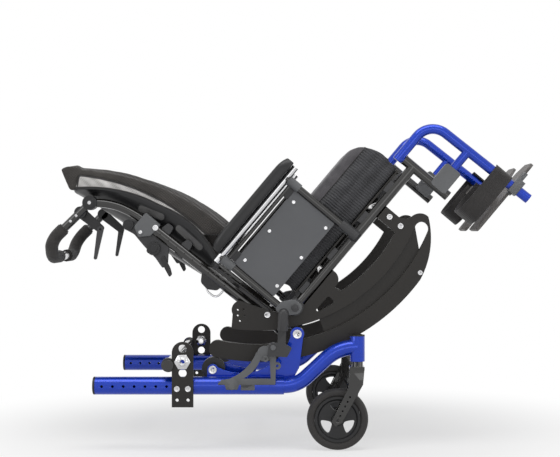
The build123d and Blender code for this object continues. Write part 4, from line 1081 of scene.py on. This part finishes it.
def make_pad(side, sign):
    """One arm pad, rounded and dressed."""
    pad = lofted(f"arm_pad_skin_{side}", [pad_section(u, sign) for u in PAD_STATIONS])
    tidy_normals(pad)
    bevel_edges(pad, 2.5, 40)
    refine(pad)
    to_seat(pad)
    smooth(pad, 60)
    dress(pad, PLASTIC, f"arm_{side}", "arm_pad", f"arm_pad_{side}")
    print("pad", side, "faces", len(pad.data.polygons))

# %% [markdown]
# ## Arms and side panels
# Two glossy posts carry a bright top rail in grey collars, with a thin tube under it, so a slot
# shows between that tube and the panel. A cast lug holds the rear post.

# %% Arms
ARM_Y = 251.0
FRONT_U, REAR_U = 10.0, -246.0
RAIL = ((46, -84), (-263, -84))
RAIL_RADIUS, POST_COLLAR_RADIUS = 8.5, 12.2
ARM_TUBES = (  # a side-view line and a radius
    (((FRONT_U, -297), (FRONT_U, -84)), 9.5),
    (((REAR_U, -285), (REAR_U, -84)), 9.5),
    (((FRONT_U, -103), (REAR_U, -103)), 5.2),
)
POST_COLLARS = (
    ((FRONT_U, -127), (FRONT_U, -92)), ((REAR_U, -127), (REAR_U, -92)), ((FRONT_U, -262), (FRONT_U, -292)),
)
LUG = rounded(((-260, -272), (-234, -272), (-206, -296), (-208, -322), (-228, -328), (-258, -300)), 10)
SHEET = rounded(((0.5, -118.7), (0.5, -250.5), (-236.5, -250.5), (-236.5, -118.7)), 4)
TABS = ((-233.5, -206.5), (-29.5, -2.5))
for side, sign in SIDES:
    y, body = sign * ARM_Y, f"arm_{side}"
    posts = [side_tube("post", line, y, radius) for line, radius in ARM_TUBES]
    dress(merge(f"arm_posts_{side}", *posts), BLACK_GLOSS, body, "frame_black", f"arm_frame_{side}")
    dress(side_tube(f"arm_rail_{side}", RAIL, y, RAIL_RADIUS), STEEL, body, "bright_steel")
    collars = [side_tube("collar", line, y, POST_COLLAR_RADIUS) for line in POST_COLLARS]
    collars.append(side_plate("lug", LUG, sign * (ARM_Y - 8), sign * (ARM_Y + 13), 2.0))
    dress(merge(f"arm_collars_{side}", *collars), CAST, body, "casting_grey")
    panel = side_plate(f"side_sheet_{side}", SHEET, sign * (ARM_Y - 2), sign * (ARM_Y + 2), 0.8)
    tabs = []
    for low, high in TABS:
        tab = rounded(((low, -121), (high, -121), (high, -104), (low, -104)), 3)
        tabs.append(side_plate("tab", tab, sign * (ARM_Y - 3), sign * (ARM_Y + 3), 0.8))
    dress(panel, PANEL, body, "panel_grey", f"side_panel_{side}")
    dress(merge(f"panel_tabs_{side}", *tabs), PLASTIC, body, "casting_dark")
    make_pad(side, sign)

# %% [markdown]
# ## Caster hubs
# The hub is a cast disc with three wide webs between its windows. Insets sink both faces of a
# cylinder between its rim and its middle, and the Boolean modifier cuts the windows.

# %% Caster hubs
HUB_RADIUS, HUB_WIDTH = 0.0570, 0.020
HUB_STEPS = ((0.0065, 0), (0.0040, -0.0045), (0.0300, 0), (0.0025, 0.0070))  # inset and depth
WINDOW = ((18.5, 12), (30, 25), (42.5, 28), (42.5, 9), (42.5, -9), (42.5, -28), (30, -25), (18.5, -12))
WINDOWS = 3


def cut_window(hub, middle, turn):
    """Cut one window through a hub. WINDOW gives each corner's reach and angle."""
    wedge = []
    for reach, spread in WINDOW:
        angle = turn + radians(spread)
        wedge.append((reach * cos(angle), reach * sin(angle)))
    cutter = flat_piece("cutter", rounded(wedge, 6), -30)
    extrude(cutter, (0, 0.06, 0))
    cutter.location = middle
    settle(cutter)
    add_modifier(hub, "BOOLEAN", operation="DIFFERENCE", object=cutter)
    apply_modifiers(hub)
    bpy.data.objects.remove(cutter)


for side, _ in SIDES:
    low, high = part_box(f"caster_hub_{side}")
    middle = (low + high) / 2
    bpy.ops.object.select_all(action="DESELECT")
    bpy.ops.mesh.primitive_cylinder_add(
        vertices=96, radius=HUB_RADIUS, depth=HUB_WIDTH, rotation=(radians(90), 0, 0), location=middle,
    )
    hub = bpy.context.object
    hub.name = f"hub_disc_{side}"
    settle(hub)
    pick(hub, "FACE", lambda face: abs(face.normal.y) > 0.9)
    for thickness, depth in HUB_STEPS:
        bpy.ops.mesh.inset(thickness=thickness, depth=depth)
    leave_edit()
    for number in range(WINDOWS):
        cut_window(hub, middle, radians(90 + 360 / WINDOWS * number))
    bevel_edges(hub, 0.8, 35)
    smooth(hub, 40)
    dress(hub, PLASTIC, f"caster_wheel_{side}", "hub", f"caster_hub_{side}")
    print("hub", side, "faces", len(hub.data.polygons))

# %% [markdown]
# ## Socket screws
# A socket screw has a low domed head with a socket. One is modelled from a cylinder by bevelling
# its rim, insetting its face and pushing the inset in, and the rest are copies.

# %% Screws
SCREW_RADIUS, SCREW_HEIGHT = 0.0048, 0.0026
PANEL_FACE = 0.2529
PANEL_SCREWS = ((-24, -137), (-118, -137), (-213, -137), (-22, -240), (-118, -241), (-211, -240))


def socket_screw(radius, height):
    """A low round head along +Y with a socket."""
    bpy.ops.object.select_all(action="DESELECT")
    bpy.ops.mesh.primitive_cylinder_add(
        vertices=24, radius=radius, depth=height, rotation=(radians(-90), 0, 0),
        location=(0, height / 2, 0),
    )
    screw = bpy.context.object
    settle(screw)
    pick(screw, "FACE", lambda face: face.normal.y > 0.9)
    bpy.ops.mesh.bevel(offset=height * 0.4, segments=3)
    leave_edit()
    pick(screw, "FACE", lambda face: face.normal.y > 0.99 and face.center.y > height * 0.9)
    bpy.ops.mesh.inset(thickness=radius * 0.25, depth=0)
    bpy.ops.mesh.inset(thickness=0.0001, depth=-height * 0.5)
    leave_edit()
    smooth(screw, 35)
    return screw


model = socket_screw(SCREW_RADIUS, SCREW_HEIGHT)
for side, sign in SIDES:
    copies = []
    for u, w in PANEL_SCREWS:
        place = SEAT @ Matrix.Translation((u / 1000, sign * PANEL_FACE, w / 1000))
        copies.append(new_object("screw", model.data.copy()))
        copies[-1].matrix_world = place if sign > 0 else place @ Matrix.Rotation(pi, 4, "X")
    panel_screws = merge(f"panel_screws_{side}", *copies)
    settle(panel_screws)
    dress(panel_screws, STEEL, f"arm_{side}", "bright_steel")
    print("panel screws", side, len(copies))
bpy.data.objects.remove(model)

# %% [markdown]
# ## Heel straps
# Each strap is a length of two-inch webbing that loops from the hanger tube behind the heel and
# back to a tab on the footplate. It is a flat curve in the seat's frame, extruded to the
# webbing's width and given its thickness.

# %% Heel straps
STRAP_WIDTH, STRAP_THICKNESS = 0.0508, 0.0026
STRAP_W = -0.494
STRAP_ROUTE = (
    (0.378, 0.212), (0.3785, 0.2405), (0.345, 0.2405), (0.262, 0.2385), (0.236, 0.226), (0.2265, 0.190),
    (0.2245, 0.140), (0.240, 0.102), (0.268, 0.0868), (0.300, 0.0868), (0.326, 0.0868),
)


def ribbon(name, route):
    """A flat ribbon of the webbing's width along a route of (u, y) points."""
    line = bpy.data.curves.new(name, "CURVE")
    line.dimensions = "2D"
    line.fill_mode = "NONE"
    spline = line.splines.new("NURBS")
    spline.points.add(len(route) - 1)
    for point, (u, y) in zip(spline.points, route):
        point.co = (u, y, 0, 1)
    spline.order_u = 3
    spline.use_endpoint_u = True
    line.extrude = STRAP_WIDTH / 2
    line.resolution_u = 8
    select_only(new_object(name, line))
    bpy.ops.object.convert(target="MESH")
    return bpy.context.object


for side, sign in SIDES:
    strap = ribbon(f"heel_strap_web_{side}", [(u, sign * y) for u, y in STRAP_ROUTE])
    strap.location.z = STRAP_W
    settle(strap)
    edit(strap)
    bpy.ops.mesh.subdivide(number_cuts=2)
    leave_edit()
    add_modifier(strap, "SOLIDIFY", thickness=STRAP_THICKNESS, offset=0.0)
    apply_modifiers(strap)
    to_seat(strap)
    smooth(strap, 50)
    dress(strap, WEBBING, f"foot_{side}", "webbing", f"heel_strap_{side}")
    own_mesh(strap)

# %% [markdown]
# ## The studio's white
# The floor and the world are plain white to the camera, to mirrors and to glass, and light the
# chair at a plain level. Near the chair the floor keeps its shadow, and it fades to white further
# out, so that it meets the background without a line.

# %% Floor and world
def white_for_camera(tree, shade, output, fade=1.0):
    """Mix a plain white glow over a shade, for camera, mirror and glass rays, and show it."""
    ray = add_node(tree, "LightPath", {})
    seen = ray["Is Camera Ray"]
    for kind in ("Is Glossy Ray", "Is Transmission Ray"):
        seen = add_node(tree, "Math", {0: seen, 1: ray[kind]}, operation="MAXIMUM")["Value"]
    part = add_node(tree, "Math", {0: seen, 1: fade}, operation="MULTIPLY")["Value"]
    glow = add_node(tree, "Emission", {"Color": (1, 1, 1, 1), "Strength": 1.0})["Emission"]
    mix = add_node(tree, "MixShader", {0: part, 1: shade, 2: glow})[0]
    feed(tree.nodes[output], {"Surface": mix})


bpy.ops.object.select_all(action="DESELECT")
bpy.ops.mesh.primitive_plane_add(size=40, location=(0, 0, 0))
floor = bpy.context.object
floor.name = "floor"
pale, shader = new_material("pale floor", Roughness=0.9, Base_Color=(0.95, 0.94, 0.93, 1))
tree = pale.node_tree
place = add_node(tree, "TexCoord", {})["Object"]
distance = add_node(tree, "VectorMath", {0: place}, operation="LENGTH")["Value"]
fade = add_node(
    tree, "MapRange", {"Value": distance, "From Min": 0.35, "From Max": 1.15, "To Min": 0.55},
    interpolation_type="SMOOTHSTEP",
)["Result"]
white_for_camera(tree, shader.outputs[0], "Material Output", fade)
floor.data.materials.append(pale)

world = bpy.data.worlds.new("studio")
scene.world = world
world.use_nodes = True
sky = world.node_tree.nodes["Background"]
feed(sky, {"Color": (0.62, 0.64, 0.67, 1), "Strength": 0.42})
white_for_camera(world.node_tree, sky.outputs[0], "World Output")
print("floor", floor.dimensions[:2])

# %% [markdown]
# ## Lamps and camera
# One broad lamp overhead and two at the sides give the long soft highlights on the tubes, and a
# weak one in front opens the shadows. The camera stands square to the chair's side, far enough
# back for the photograph's perspective.

# %% Lamps and camera
MIDDLE = (0, 0, 0.45)
LAMPS = (  # name, place, width and height in metres, power in watts
    ("overhead", (0.1, -0.9, 2.6), (2.4, 1.2), 27),
    ("left_box", (-2.3, -1.9, 1.3), (1.1, 1.8), 14),
    ("right_box", (2.3, -1.6, 1.1), (0.9, 1.6), 10),
    ("front_fill", (0.2, -3.6, 0.9), (1.6, 1.0), 6),
)
for name, place, size, power in LAMPS:
    lamp = bpy.data.lights.new(name, "AREA")
    lamp.shape = "RECTANGLE"
    lamp.size, lamp.size_y = size
    lamp.energy = power
    holder = new_object(name, lamp)
    holder.location = place
    holder.rotation_euler = (Vector(MIDDLE) - Vector(place)).to_track_quat("-Z", "Y").to_euler()

PHOTO_WIDTH = 560  # pixels
FOCAL_LENGTH = 1311  # in the photograph's pixels, from its perspective
camera_data = bpy.data.cameras.new("camera")
camera_data.sensor_width = 36
camera_data.lens = FOCAL_LENGTH / PHOTO_WIDTH * camera_data.sensor_width
camera_data.shift_x = -0.0375
camera_data.shift_y = -0.0009
camera = new_object("camera", camera_data)
camera.location = (CENTRE.x + 0.1079, -3.53, 0.5499)
camera.rotation_euler = (radians(90), 0, 0)
scene.camera = camera
scene.view_settings.view_transform = "Standard"
print("camera at", [round(c, 3) for c in camera.location], "lens", round(camera_data.lens, 2))
